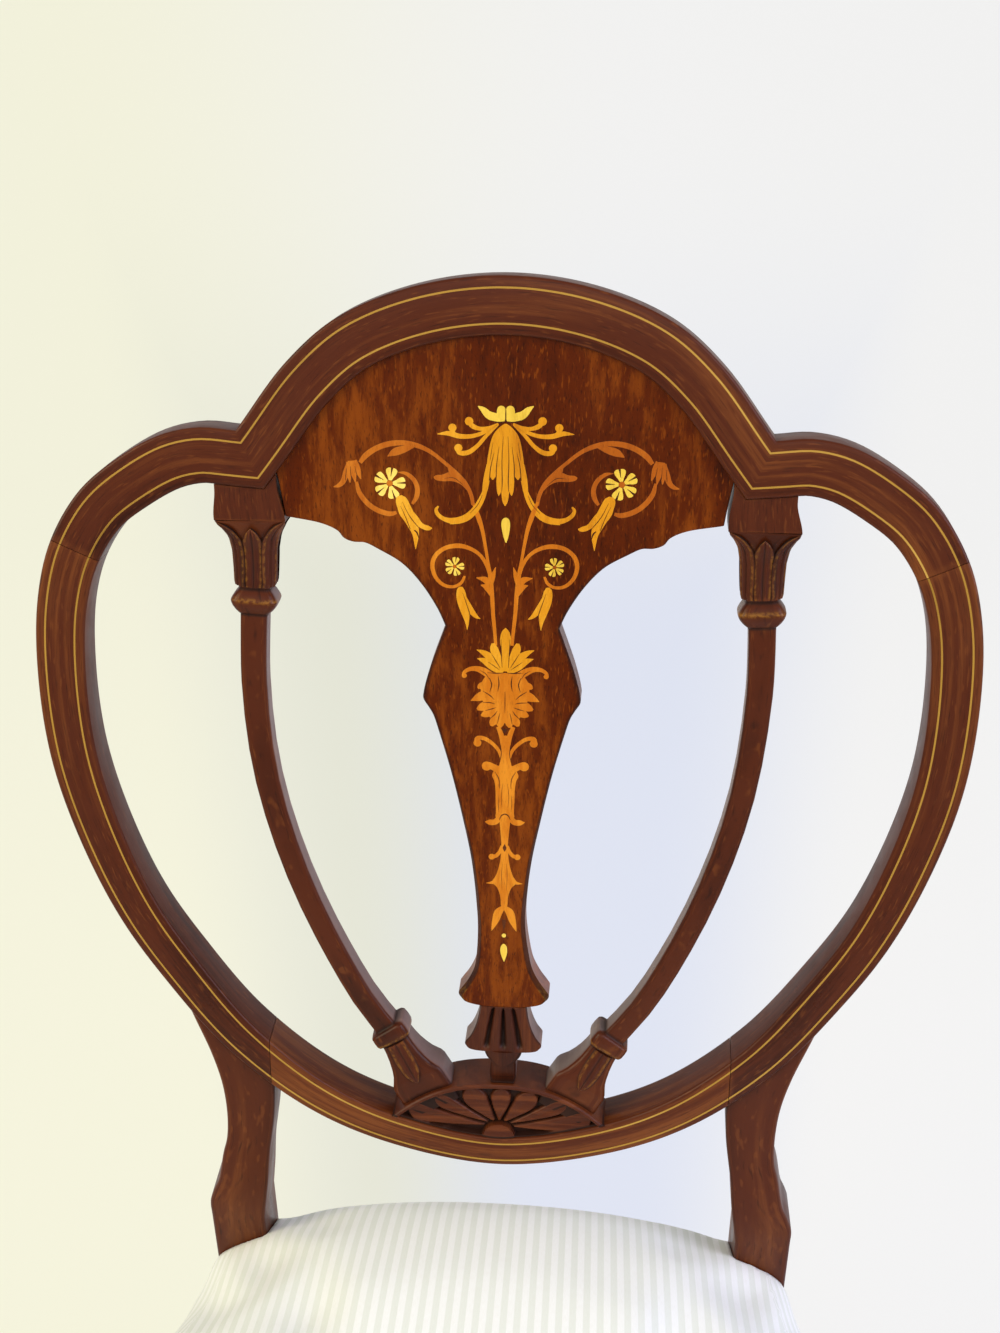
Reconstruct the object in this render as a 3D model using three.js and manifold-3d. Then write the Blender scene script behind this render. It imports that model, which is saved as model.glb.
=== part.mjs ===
// Shield back side chair in inlaid mahogany, with a stuffed seat.
//
// Millimetres, +Z up. The chair faces -Y, and its left legs are at -X.
// The back is drawn flat first: X across, Z up from the lowest point of the shield, and Y back from the
// front face of the shield frame. bend() then dishes it, leans it and carries it down the rear legs.

import * as THREE from "three";
import { mergeVertices } from "three/addons/utils/BufferGeometryUtils.js";
import Module from "manifold-3d";

const wasm = await Module();
wasm.setup();

// Clearances
const fitGap = 0.3;
const overrun = 5;

// Stance
const seatRailTop = 392;
const shieldRise = 88;
const leanDegrees = 11;
const dishRadius = 2500;
const legSweep = 62;
const sweepPower = 1.7;

// Shield frame
const shieldHalf = 241;
const shieldHeight = 501;
const railFace = 28;
const railDepthTop = 24;
const railDepthLow = 29;
const frontRound = 1.6;
const backRound = 3.5;
const mitreReach = 40;
const crestArm = 119;
const shoeHalf = 130;
const stringFace = 1.5;
const stringDepth = 1.2;
const stringInsetShare = 0.2;

// Tenons and dowels of the back
const tenonFace = 11;
const tenonDepth = 9;
const tenonLength = 20;
const tenonSetback = 13;
const dowelRadius = 4;
const dowelLength = 11;

// Rear posts and legs
const rearPostHalf = 172;
const postFace = 32;
const postDepth = 32;
const postDepthHigh = 25;
const postRecess = 3;
const postRound = 2.5;
const rearFootHalf = 164;
const rearFootFace = 27;

// Splat
const splatRecess = 3.5;
const splatDepth = 18;
const splatBevel = 1.8;
const splatChamfer = 3.5;
const bevelTopShare = 0.52;
const bevelLowShare = 0.3;

// Curved bars
const barShaft = 12.6;
const barFoot = 31;
const barFootDrop = 12.7;
const barFootMiddle = 22;
const barFootNeck = 17;
const barCollar = 20;
const barAstragal = 24;
const barCapital = 18.5;
const barLeaf = 22;
const barBlock = 38;
const barBlockTop = 31;
const barDepth = 22;
const barShaftDepth = 15;
const barMiddle = 13;
const barSides = 12;

// Fan lunette
const lunetteHalf = 61;
const lunetteHeight = 54.6;
const lunetteEndHeight = 31;
const lunetteHubHeight = 23;
const lunettePower = 2.4;
const lunetteDepth = 26;
const lunetteProud = 1;
const hubShare = 0.2;
const rimShare = 0.84;
const petalSink = 4.5;
const petalLift = 2;
const petalCount = 7;
const lunetteSteps = 4 * petalCount;
const lunetteLowSteps = 4;

// Seat frame
const seatRailHeight = 58;
const seatRailFace = 22;
const seatDepth = 430;
const seatFrontHalf = 245;
const seatRearHalf = 165;
const seatCorner = 14;
const seatTenonFace = 8;
const seatTenonLength = 14;
const seatTenonShoulder = 8;
const blockReach = 40;
const blockHeight = 38;
const blockDrop = 6;

// Front legs
const frontLegTop = 38;
const frontLegAnkle = 24;
const spadeFace = 33;
const spadeFoot = 25;
const spadeHeight = 66;
const spadeShoulder = 12;
const legRound = 1.5;

// Seat upholstery
const webWidth = 50;
const webThick = 1.8;
const hessianThick = 1;
const padRoll = 44;
const padCrown = 16;
const padCornerRun = 80;
const coverThick = 1.6;
const clothThick = 1;
const clothInset = 9;
const webCount = 4;

// Finishes
const mahogany = { color: 0x6b2f16, roughness: 0.38, metalness: 0 };
const mahoganyPanel = { color: 0x7c3a1b, roughness: 0.36, metalness: 0 };
const boxwood = { color: 0xe3c98d, roughness: 0.42, metalness: 0 };
const beech = { color: 0xb88d5c, roughness: 0.7, metalness: 0 };
const satin = { color: 0xe4dcc6, roughness: 0.55, metalness: 0 };
const wadding = { color: 0xd8cfb8, roughness: 0.95, metalness: 0 };
const jute = { color: 0xa98a5e, roughness: 0.95, metalness: 0 };
const blackCloth = { color: 0x222222, roughness: 0.95, metalness: 0 };

// Outlines of the shield's right half. Each row is the share of its half width, of its height, and of the
// rail's face width there.
const archShares = [
  [0, 1, 1],
  [0.178, 0.989, 1],
  [0.334, 0.959, 1],
  [0.44, 0.916, 1],
  [0.548, 0.849, 1],
];
const shieldShares = [
  [0.548, 0.849, 1],
  [0.624, 0.852, 1],
  [0.705, 0.844, 1],
  [0.797, 0.82, 0.99],
  [0.88, 0.787, 0.96],
  [0.948, 0.736, 0.93],
  [0.985, 0.677, 0.9],
  [1, 0.599, 0.89],
  [0.989, 0.501, 0.87],
  [0.944, 0.408, 0.84],
  [0.87, 0.314, 0.81],
  [0.78, 0.238, 0.8],
  [0.634, 0.142, 0.77],
  [0.44, 0.063, 0.72],
  [0.241, 0.02, 0.68],
  [0, 0, 0.65],
];

// The post between stile and seat: shares of the shield's height, then its outer and inner edges as shares
// of the shield's half width.
const postShares = [
  [0.224, 0.748, 0.67],
  [0.184, 0.719, 0.6],
  [0.132, 0.681, 0.54],
  [0.092, 0.661, 0.535],
  [0.05, 0.654, 0.54],
  [0.019, 0.658, 0.549],
  [0, 0.668, 0.555],
  [-0.04, 0.686, 0.5635],
  [-0.058, 0.702, 0.5685],
  [-0.075, 0.713, 0.574],
];

// Half outline of the splat from its foot up: shares of the shield's height and half width.
const splatShares = [
  [0.08, 0.037],
  [0.13, 0.037],
  [0.147, 0.044],
  [0.15, 0.06],
  [0.155, 0.09],
  [0.18, 0.075],
  [0.204, 0.056],
  [0.207, 0.056],
  [0.216, 0.103],
  [0.222, 0.1],
  [0.245, 0.077],
  [0.272, 0.061],
  [0.305, 0.054],
  [0.336, 0.057],
  [0.385, 0.068],
  [0.434, 0.087],
  [0.487, 0.111],
  [0.53, 0.135],
  [0.552, 0.149],
  [0.56, 0.158],
  [0.57, 0.17],
  [0.578, 0.169],
  [0.604, 0.155],
  [0.637, 0.131],
  [0.649, 0.121],
  [0.668, 0.138],
  [0.694, 0.172],
  [0.715, 0.212],
  [0.731, 0.26],
  [0.739, 0.291],
  [0.742, 0.322],
  [0.745, 0.338],
  [0.755, 0.352],
  [0.76, 0.38],
  [0.7625, 0.4545],
  [0.79, 0.4685],
  [0.84, 0.49],
  [0.96, 0.49],
];

// Middle line of a curved bar above the lunette: shares of the shield's half width and height. It starts
// inside the lunette, at a share of the half width.
const barStartShare = 0.151;
const barShares = [
  [0.178, 0.094],
  [0.218, 0.128],
  [0.257, 0.161],
  [0.313, 0.2],
  [0.358, 0.24],
  [0.4315, 0.319],
  [0.4875, 0.399],
  [0.5245, 0.479],
  [0.5435, 0.579],
  [0.542, 0.639],
  [0.534, 0.703],
  [0.535, 0.812],
];

// Sections of a curved bar: share of its length above the lunette, width, depth, and how square the
// section is.
const round = 2.2;
const soft = 3.5;
const square = 30;
const barSections = [
  [0.01, barFoot, barDepth, soft],
  [0.056, barFootMiddle, barDepth, soft],
  [0.092, barFootNeck, barShaftDepth, soft],
  [0.096, barCollar, barDepth, round],
  [0.125, barCollar, barDepth, round],
  [0.129, barShaft, barShaftDepth, soft],
  [0.2, barShaft, barShaftDepth, soft],
  [0.28, barShaft, barShaftDepth, soft],
  [0.36, barShaft, barShaftDepth, soft],
  [0.44, barShaft, barShaftDepth, soft],
  [0.52, barShaft, barShaftDepth, soft],
  [0.6, barShaft, barShaftDepth, soft],
  [0.69, barShaft, barShaftDepth, soft],
  [0.794, barShaft, barShaftDepth, soft],
  [0.798, barAstragal, barDepth, soft],
  [0.811, barAstragal, barDepth, soft],
  [0.814, barCapital, barShaftDepth, soft],
  [0.817, barAstragal, barDepth, soft],
  [0.83, barAstragal, barDepth, soft],
  [0.834, barCapital, barShaftDepth, soft],
  [0.86, barCapital, barDepth, soft],
  [0.9, barLeaf, barDepth, soft],
  [0.925, barBlockTop, barDepth, soft],
  [0.928, barBlock, barDepth, square],
  [0.972, barBlockTop, barDepth, square],
  [1, barBlockTop, barDepth, square],
];

// Rings of the crowned seat, as shares of its outline, from the edge to the middle.
const padShares = [1, 0.985, 0.955, 0.91, 0.82, 0.68, 0.5, 0.3, 0.12];
const padRollPower = 12;
const openCornerShare = 0.92;
const openCornerPower = 24;
const cornerSteps = 5;
const sideSteps = 6;

// How far up the seat's roll the rear posts stand plumb, as a share.
const plumbShare = 0.75;

const lean = THREE.MathUtils.degToRad(leanDegrees);
const shieldBase = seatRailTop + shieldRise;
const seatRailBottom = seatRailTop - seatRailHeight;
const seatBlockDrop = shieldBase - seatRailBottom;
const webLow = seatRailTop + fitGap;
const crossLow = webLow + webThick + fitGap;
const hessianLow = crossLow + webThick + fitGap;
const padLow = hessianLow + hessianThick + fitGap;
const seatLine = padLow + plumbShare * padRoll;
const settleDrop = shieldBase - seatLine;
const postMiddle = rearPostHalf - postFace / 2;
const grooveFace = stringFace + 2 * fitGap;
const grooveDepth = stringDepth + fitGap;

// Joining and cutting

// A closed geometry as a solid that can be joined and cut.
function solid(geometry) {
  const bare = new THREE.BufferGeometry();
  bare.setAttribute("position", geometry.getAttribute("position"));
  bare.setIndex(geometry.getIndex());
  const merged = mergeVertices(bare);
  const vertProperties = merged.getAttribute("position").array;
  const triVerts = Uint32Array.from(merged.getIndex().array);
  return new wasm.Manifold(new wasm.Mesh({ numProp: 3, vertProperties, triVerts }));
}

// The geometry of a joined or cut solid.
function geometryOf(made) {
  const mesh = made.getMesh();
  const geometry = new THREE.BufferGeometry();
  geometry.setAttribute("position", new THREE.BufferAttribute(mesh.vertProperties, mesh.numProp));
  geometry.setIndex(new THREE.BufferAttribute(mesh.triVerts, 1));
  return geometry;
}

// A geometry without the spaces that the given solids take from it.
function cut(geometry, ...tools) {
  return geometryOf(tools.reduce((rest, tool) => rest.subtract(solid(tool)), solid(geometry)));
}

// Geometries joined into one body.
function join(geometry, ...others) {
  return geometryOf(others.reduce((rest, other) => rest.add(solid(other)), solid(geometry)));
}

// The space that two geometries share.
function within(geometry, limit) {
  return geometryOf(solid(geometry).intersect(solid(limit)));
}

// The same piece for the other side of the chair.
function mirrored(geometry) {
  const twin = geometryOf(solid(geometry)).scale(-1, 1, 1);
  const index = twin.getIndex();
  for (let i = 0; i < index.count; i += 3) {
    const first = index.getX(i);
    index.setX(i, index.getX(i + 1));
    index.setX(i + 1, first);
  }
  return twin;
}

// A box between two corners.
function box(low, high) {
  const size = new THREE.Vector3().subVectors(high, low);
  const middle = new THREE.Vector3().addVectors(low, high).multiplyScalar(1 / 2);
  return new THREE.BoxGeometry(size.x, size.y, size.z).translate(middle.x, middle.y, middle.z);
}

// A plan outline raised from one height to another.
function raised(outline, low, high) {
  const shape = new THREE.Shape(outline);
  const geometry = new THREE.ExtrudeGeometry(shape, { depth: high - low, bevelEnabled: false });
  return geometry.translate(0, 0, low);
}

// An outline drawn on the flat back, cut through from one depth to another.
function through(outline, near, far) {
  const shape = new THREE.Shape(outline);
  const geometry = new THREE.ExtrudeGeometry(shape, { depth: far - near, bevelEnabled: false });
  return geometry.rotateX(Math.PI / 2).translate(0, far, 0);
}

// A closed solid through rings of equally many points. The section gives the rings' flat outline, turning
// counterclockwise when the run of the rings points at the viewer.
function loft(rings, section) {
  const count = rings[0].length;
  const last = (rings.length - 1) * count;
  const triangles = [];
  for (let i = 0; i < rings.length - 1; i += 1) {
    for (let j = 0; j < count; j += 1) {
      const a = i * count + j;
      const b = i * count + ((j + 1) % count);
      triangles.push(a, b, b + count, a, b + count, a + count);
    }
  }
  THREE.ShapeUtils.triangulateShape(section, []).forEach(([a, b, c]) => {
    triangles.push(c, b, a);
    triangles.push(last + a, last + b, last + c);
  });
  const geometry = new THREE.BufferGeometry().setFromPoints(rings.flat());
  geometry.setIndex(triangles);
  return geometry;
}

// The bent back

// Side view of the back at a level above or below the shield's lowest point: how far back its front face
// is, how high, and how much it leans. Above the seat it leans, through the seat it is plumb, and below
// the seat the leg sweeps back.
function spine(level) {
  if (level >= 0) {
    return { back: level * Math.sin(lean), height: shieldBase + level * Math.cos(lean), lean };
  }
  const settled = Math.min(-level / settleDrop, 1);
  const swept = Math.max(-level - seatBlockDrop, 0) / (shieldBase - seatBlockDrop);
  const forward = Math.tan(lean) * settleDrop * (settled - (settled * settled) / 2);
  return {
    back: legSweep * swept ** sweepPower - forward,
    height: shieldBase + level,
    lean: lean * (1 - settled),
  };
}

// Where a point of the flat back lies on the chair. The shield is dished to a large radius, and the legs
// stand square, each moved forward as far as the dish moves the middle of its post.
function bentPoint(flat) {
  const line = spine(flat.z);
  const settled = THREE.MathUtils.smoothstep(-flat.z, 0, settleDrop);
  const turn = flat.x / dishRadius;
  const postTurn = (Math.sign(flat.x) * postMiddle) / dishRadius;
  const dishedX = (dishRadius + flat.y) * Math.sin(turn);
  const dishedY = (dishRadius + flat.y) * Math.cos(turn) - dishRadius;
  const squareY = flat.y + dishRadius * (Math.cos(postTurn) - 1);
  const across = THREE.MathUtils.lerp(dishedX, flat.x, settled);
  const depth = THREE.MathUtils.lerp(dishedY, squareY, settled);
  return new THREE.Vector3(
    across,
    line.back + depth * Math.cos(line.lean),
    line.height - depth * Math.sin(line.lean),
  );
}

// Bends a flat geometry into place on the chair.
function bend(geometry) {
  const place = geometry.getAttribute("position");
  const flat = new THREE.Vector3();
  for (let i = 0; i < place.count; i += 1) {
    const bent = bentPoint(flat.fromBufferAttribute(place, i));
    place.setXYZ(i, bent.x, bent.y, bent.z);
  }
  return geometry;
}

// Shield frame

// A spline through one half's shares and their mirror image, running with the inside of the frame on its
// right. Its third coordinate carries the face width.
function frameEdge(shares, startsAtMiddle) {
  const half = shares.map(([across, up, face]) =>
    new THREE.Vector3(across * shieldHalf, up * shieldHeight, face * railFace));
  const middle = startsAtMiddle ? half[0] : half[half.length - 1];
  const twin = half.filter((point) => point !== middle).reverse();
  const flipped = twin.map((point) => new THREE.Vector3(-point.x, point.y, point.z));
  const points = startsAtMiddle ? [...flipped, ...half] : [...half, ...flipped];
  const curve = new THREE.CatmullRomCurve3(points, false, "centripetal");
  curve.arcLengthDivisions = 600;
  return { curve, length: curve.getLength() };
}

const arch = frameEdge(archShares, true);
const shield = frameEdge(shieldShares, false);

// Outer point, inward direction and face width at a share of an edge's length.
function edgePoint(edge, share) {
  const point = edge.curve.getPointAt(share);
  const run = edge.curve.getTangentAt(share);
  const inward = new THREE.Vector2(run.y, -run.x).normalize();
  return { outer: new THREE.Vector2(point.x, point.y), inward, face: point.z };
}

// The inner corner of the mitre where the arch's right end meets the shoulder.
const archEnd = edgePoint(arch, 1);
const shoulderStart = edgePoint(shield, 0);
const mitreOpening = 1 + archEnd.inward.dot(shoulderStart.inward);
const cuspOffset = archEnd.inward.clone().add(shoulderStart.inward).multiplyScalar(railFace / mitreOpening);
const cusp = archEnd.outer.clone().add(cuspOffset);

// A station across the frame: matching outer and inner points. Close to a mitre the inner points run on to
// its inner corner.
function station(edge, share) {
  const here = edgePoint(edge, share);
  const fromEnd = Math.min(share, 1 - share) * edge.length;
  const atStart = share < 1 / 2;
  const end = edgePoint(edge, atStart ? 0 : 1);
  const endInner = end.outer.clone().addScaledVector(end.inward, end.face);
  const endCusp = new THREE.Vector2(Math.sign(end.outer.x) * cusp.x, cusp.y);
  const extension = endInner.distanceTo(endCusp);
  const blended = fromEnd < mitreReach;
  const innerRun = blended ? (fromEnd / mitreReach) * (mitreReach + extension) - extension : fromEnd;
  if (innerRun < 0) {
    const inner = endInner.clone().lerp(endCusp, -innerRun / extension);
    return { outer: here.outer, inner, face: here.face };
  }
  const innerShare = innerRun / edge.length;
  const seat = edgePoint(edge, atStart ? innerShare : 1 - innerShare);
  const inner = seat.outer.clone().addScaledVector(seat.inward, seat.face);
  return { outer: here.outer, inner, face: here.face };
}

// Stations evenly spaced from one share of an edge to another.
function stations(edge, from, to, count) {
  return Array.from({ length: count + 1 }, (_, i) =>
    station(edge, THREE.MathUtils.lerp(from, to, i / count)));
}

// How thick the frame is at a height on the shield.
function railDepth(height) {
  return THREE.MathUtils.lerp(railDepthLow, railDepthTop, height / shieldHeight);
}

// A point of a station's section: how far in from the outer edge (0) or the inner edge (1), and how deep
// from the front face (0) or the back (1).
function sectionPoint(place, [edge, inset, side, sink]) {
  const thick = railDepth(place.outer.y);
  const distance = edge ? place.face - inset : inset;
  return new THREE.Vector2(distance, side ? thick - sink : sink);
}

// A section swept along stations of the frame.
function sweep(places, sectionOf) {
  const sections = places.map((place) => sectionOf(place).map((point) => sectionPoint(place, point)));
  const rings = sections.map((section, i) => section.map((point) => {
    const across = places[i].outer.clone().lerp(places[i].inner, point.x / places[i].face);
    return new THREE.Vector3(across.x, point.y, across.y);
  }));
  return loft(rings, sections[0]);
}

// The frame's section: rounded edges and two grooves for the strings.
function railSection(place) {
  const inset = place.face * stringInsetShare;
  const near = inset - grooveFace / 2;
  const far = inset + grooveFace / 2;
  return [
    [0, frontRound, 0, 0],
    [0, near, 0, 0],
    [0, near, 0, grooveDepth],
    [0, far, 0, grooveDepth],
    [0, far, 0, 0],
    [1, far, 0, 0],
    [1, far, 0, grooveDepth],
    [1, near, 0, grooveDepth],
    [1, near, 0, 0],
    [1, frontRound, 0, 0],
    [1, 0, 0, frontRound],
    [1, 0, 1, backRound],
    [1, backRound, 1, 0],
    [0, backRound, 1, 0],
    [0, 0, 1, backRound],
    [0, 0, 0, frontRound],
  ];
}

// The section of a string near the outer edge (0) or the inner edge (1).
function stringSection(place, edge) {
  const inset = place.face * stringInsetShare;
  const near = inset + (edge ? stringFace : -stringFace) / 2;
  const far = inset - (edge ? stringFace : -stringFace) / 2;
  return [[edge, near, 0, 0], [edge, far, 0, 0], [edge, far, 0, stringDepth], [edge, near, 0, stringDepth]];
}

const jointShare = crestArm / shield.length;
const jointGapShare = fitGap / shield.length;
const archSteps = 20;
const shoulderSteps = 7;
const lowerSteps = 60;

// Stations of the crest rail, from its left joint over the arch to its right one, and of the rest of the
// shield, from the right joint round the bottom to the left one.
const crestRun = [
  ...stations(shield, 1 - jointShare, 1, shoulderSteps).slice(0, -1),
  ...stations(arch, 0, 1, archSteps),
  ...stations(shield, 0, jointShare, shoulderSteps).slice(1),
];
const lowerRun = stations(shield, jointShare, 1 - jointShare, lowerSteps);
const stilePart = lowerRun.slice(1).filter((place) => place.outer.x > shoeHalf - railFace);
const stileRun = [station(shield, jointShare + jointGapShare), ...stilePart];
const shoeRun = lowerRun.filter((place) => Math.abs(place.outer.x) < shoeHalf + railFace);

// The space inside the shield frame, a clearance away from its inner edge.
function insideFrame(clearance) {
  const outline = [...crestRun, ...lowerRun.slice(1, -1)].map((place) =>
    place.outer.clone().lerp(place.inner, 1 + clearance / place.face));
  return through(outline, -2 * railDepthLow, 2 * railDepthLow);
}

// The space between two levels across, used to part the stiles from the shoe.
function between(low, high) {
  return box(
    new THREE.Vector3(low, -railDepthLow, -shieldBase - overrun),
    new THREE.Vector3(high, 2 * railDepthLow, shieldHeight + overrun),
  );
}

const shoeEnd = shoeHalf - fitGap / 2;
const stileSide = shoeHalf + fitGap / 2;

// A tongue that points out of a stile's top into the crest rail, grown all round by a clearance.
function crestTongue(clearance) {
  const end = station(shield, jointShare);
  const run = shield.curve.getTangentAt(jointShare);
  const middle = end.outer.clone().lerp(end.inner, 1 / 2);
  const depthMiddle = railDepth(end.outer.y) / 2;
  const tongue = box(
    new THREE.Vector3(-tenonFace / 2 - clearance, -tenonDepth / 2 - clearance, -tenonLength - clearance),
    new THREE.Vector3(tenonFace / 2 + clearance, tenonDepth / 2 + clearance, overrun),
  );
  tongue.rotateY(Math.atan2(run.x, run.y));
  return tongue.translate(middle.x, depthMiddle, middle.y);
}

// Height of a side of the frame where it crosses the joint between shoe and stile.
function heightAtJoint(side) {
  const next = lowerRun.findIndex((place) => place[side].x < shoeHalf);
  const before = lowerRun[next - 1][side];
  const after = lowerRun[next][side];
  return THREE.MathUtils.mapLinear(shoeHalf, before.x, after.x, before.y, after.y);
}

// A tongue of the shoe that runs into the right stile, grown all round by a clearance.
function shoeTongue(clearance) {
  const middle = (heightAtJoint("outer") + heightAtJoint("inner")) / 2;
  const depthMiddle = railDepth(0) / 2;
  return box(
    new THREE.Vector3(shoeEnd - overrun, depthMiddle - tenonDepth / 2 - clearance,
      middle - tenonFace / 2 - clearance),
    new THREE.Vector3(shoeEnd + tenonLength + clearance, depthMiddle + tenonDepth / 2 + clearance,
      middle + tenonFace / 2 + clearance),
  );
}

// Fan lunette

// Height of the lunette's upper edge at a distance from the middle.
function lunetteEdge(across) {
  const reach = Math.abs(across / lunetteHalf);
  return lunetteEndHeight + (lunetteHeight - lunetteEndHeight) * (1 - reach ** lunettePower);
}

// The lunette's outline on the flat back, grown by a clearance. Its lower edge lies inside the shoe.
function lunetteOutline(clearance) {
  const upper = Array.from({ length: lunetteSteps + 1 }, (_, i) => {
    const across = lunetteHalf * (1 - (2 * i) / lunetteSteps);
    return new THREE.Vector2(across * (1 + clearance / lunetteHalf), lunetteEdge(across) + clearance);
  });
  const lower = Array.from({ length: lunetteLowSteps + 1 }, (_, i) =>
    new THREE.Vector2(lunetteHalf * ((2 * i) / lunetteLowSteps - 1), 0));
  return [...upper, ...lower];
}

// The carved front of the lunette: how deep its surface lies at a share of the way from hub to edge, and
// at a share of the way round the fan.
function carvedDepth(share, turn) {
  const petal = Math.abs(Math.sin(turn * petalCount * Math.PI));
  if (share < hubShare) {
    return -lunetteProud - petalLift * (1 - share / hubShare);
  }
  if (share > rimShare) {
    return -lunetteProud;
  }
  return petalSink - petalLift * petal;
}

// The half-round block with its radiating petals, hub and rim.
function fanLunette() {
  const edge = lunetteOutline(0);
  const hub = new THREE.Vector2(0, lunetteHubHeight);
  const carvedShares = [1, 0.88, 0.83, 0.5, 0.22, 0.18, 0.05];
  const front = carvedShares.map((share) => edge.map((point, i) => {
    const place = hub.clone().lerp(point, share);
    const turn = Math.min(i, lunetteSteps) / lunetteSteps;
    return new THREE.Vector3(place.x, carvedDepth(share, turn), place.y);
  }));
  const back = edge.map((point) => new THREE.Vector3(point.x, lunetteDepth, point.y));
  const block = loft([back, ...front], edge);
  const fitted = within(block, insideFrame(fitGap));
  const tongue = box(
    new THREE.Vector3(-tenonFace, lunetteDepth / 2 - tenonDepth / 2, railFace / 3),
    new THREE.Vector3(tenonFace, lunetteDepth / 2 + tenonDepth / 2, lunetteHubHeight),
  );
  return cut(join(fitted, tongue), splatTongue(fitGap), barDowel(fitGap), mirrored(barDowel(fitGap)));
}

// The slot in the shoe for the lunette's tongue.
function lunetteSlot() {
  return box(
    new THREE.Vector3(-tenonFace - fitGap, lunetteDepth / 2 - tenonDepth / 2 - fitGap, railFace / 3 - fitGap),
    new THREE.Vector3(tenonFace + fitGap, lunetteDepth / 2 + tenonDepth / 2 + fitGap, lunetteHeight),
  );
}

// Splat

// A tongue below the splat that stands in the lunette, grown all round by a clearance.
function splatTongue(clearance) {
  const middle = splatRecess + splatDepth / 2;
  return box(
    new THREE.Vector3(-tenonFace / 2 - clearance, middle - tenonDepth / 2 - clearance,
      lunetteHeight - tenonSetback - clearance),
    new THREE.Vector3(tenonFace / 2 + clearance, middle + tenonDepth / 2 + clearance,
      lunetteHeight + overrun),
  );
}

// The inlaid panel: wings, neck, ears, taper, bell foot and carved bud, with bevelled edges. It is cut to
// the arch at the top and to the lunette below.
function splat() {
  const columns = 6;
  const rings = splatShares.map(([up, half]) => {
    const height = up * shieldHeight;
    const reach = half * shieldHalf;
    const chamferShare = 1 - THREE.MathUtils.smoothstep(up, bevelLowShare, bevelTopShare);
    const bevel = THREE.MathUtils.lerp(splatBevel, splatChamfer, chamferShare);
    const far = splatRecess + splatDepth;
    const shares = Array.from({ length: columns + 1 }, (_, i) => (2 * i) / columns - 1);
    const front = shares.map((share) => new THREE.Vector3(share * (reach - bevel), splatRecess, height));
    const back = shares.map((share) => new THREE.Vector3(-share * (reach - splatBevel), far, height));
    const right = [new THREE.Vector3(reach, splatRecess + bevel, height),
      new THREE.Vector3(reach, far - splatBevel, height)];
    const left = [new THREE.Vector3(-reach, far - splatBevel, height),
      new THREE.Vector3(-reach, splatRecess + bevel, height)];
    return [...front, ...right, ...back, ...left];
  });
  const section = rings[0].map((point) => new THREE.Vector2(point.x, point.y));
  const board = loft(rings, section);
  const seat = through(lunetteOutline(fitGap), -2 * railDepthLow, 2 * railDepthLow);
  return join(cut(within(board, insideFrame(fitGap)), seat), splatTongue(0));
}

// Curved bars

const barStart = barStartShare * shieldHalf;
const barLine = new THREE.CatmullRomCurve3(
  [
    new THREE.Vector3(barStart, 0, lunetteEdge(barStart) - barFootDrop),
    ...barShares.map(([across, up]) => new THREE.Vector3(across * shieldHalf, 0, up * shieldHeight)),
  ],
  false,
  "centripetal",
);

// The share of a bar's middle line at which it leaves the lunette, found by halving.
function barSeatShare() {
  const tries = 20;
  return Array.from({ length: tries }, (_, i) => (1 / 2) ** (i + 1)).reduce((share, step) => {
    const point = barLine.getPointAt(share + step);
    return point.z < lunetteEdge(point.x) ? share + step : share;
  }, 0);
}

const seatShare = barSeatShare();

// A share of a bar's length above the lunette, as a share of its whole middle line.
function barShare(share) {
  return THREE.MathUtils.lerp(seatShare, 1, share);
}

// A dowel from a bar's foot into the lunette, grown by a clearance.
function barDowel(clearance) {
  const seat = barLine.getPointAt(seatShare);
  const run = barLine.getTangentAt(seatShare);
  const radius = dowelRadius + clearance;
  const dowel = new THREE.CylinderGeometry(radius, radius, 2 * (dowelLength + clearance), barSides);
  dowel.rotateX(Math.PI / 2).rotateY(Math.atan2(run.x, run.z));
  return dowel.translate(seat.x, barMiddle, seat.z);
}

// A tongue on top of a bar's block that stands in the crest rail, grown all round by a clearance.
function barTongue(clearance) {
  const top = barLine.getPointAt(1);
  return box(
    new THREE.Vector3(top.x - tenonFace / 2 - clearance, barMiddle - tenonDepth / 2 - clearance,
      cusp.y - overrun),
    new THREE.Vector3(top.x + tenonFace / 2 + clearance, barMiddle + tenonDepth / 2 + clearance,
      cusp.y + tenonSetback + clearance),
  );
}

// One ring of a bar at a share of its whole middle line, at angles round it.
function barRing(share, [width, depth, power], angles) {
  const middle = barLine.getPointAt(share);
  const run = barLine.getTangentAt(share);
  const side = new THREE.Vector3(run.z, 0, -run.x).normalize();
  return angles.map((angle) => {
    const x = Math.sign(Math.cos(angle)) * Math.abs(Math.cos(angle)) ** (2 / power);
    const y = Math.sign(Math.sin(angle)) * Math.abs(Math.sin(angle)) ** (2 / power);
    const point = middle.clone().addScaledVector(side, (x * width) / 2);
    point.y = barMiddle + (y * depth) / 2;
    return point;
  });
}

// A bar swept along its middle line, from its carved foot through collar, shaft, astragals and leaf
// capital to the square block. Foot and block are cut to the pieces that they meet.
function curvedBar() {
  const angles = Array.from({ length: barSides }, (_, i) => ((2 * i + 1) * Math.PI) / barSides);
  const start = barRing(0, [barFoot, barDepth, soft], angles);
  const rings = [start, ...barSections.map(([share, ...size]) => barRing(barShare(share), size, angles))];
  const section = angles.map((angle) => new THREE.Vector2(Math.cos(angle), Math.sin(angle)));
  const whole = loft(rings, section);
  const seat = through(lunetteOutline(fitGap), -2 * railDepthLow, 2 * railDepthLow);
  const fitted = cut(within(whole, insideFrame(fitGap)), seat, splatSide());
  return join(fitted, barTongue(0), barDowel(0));
}

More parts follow.
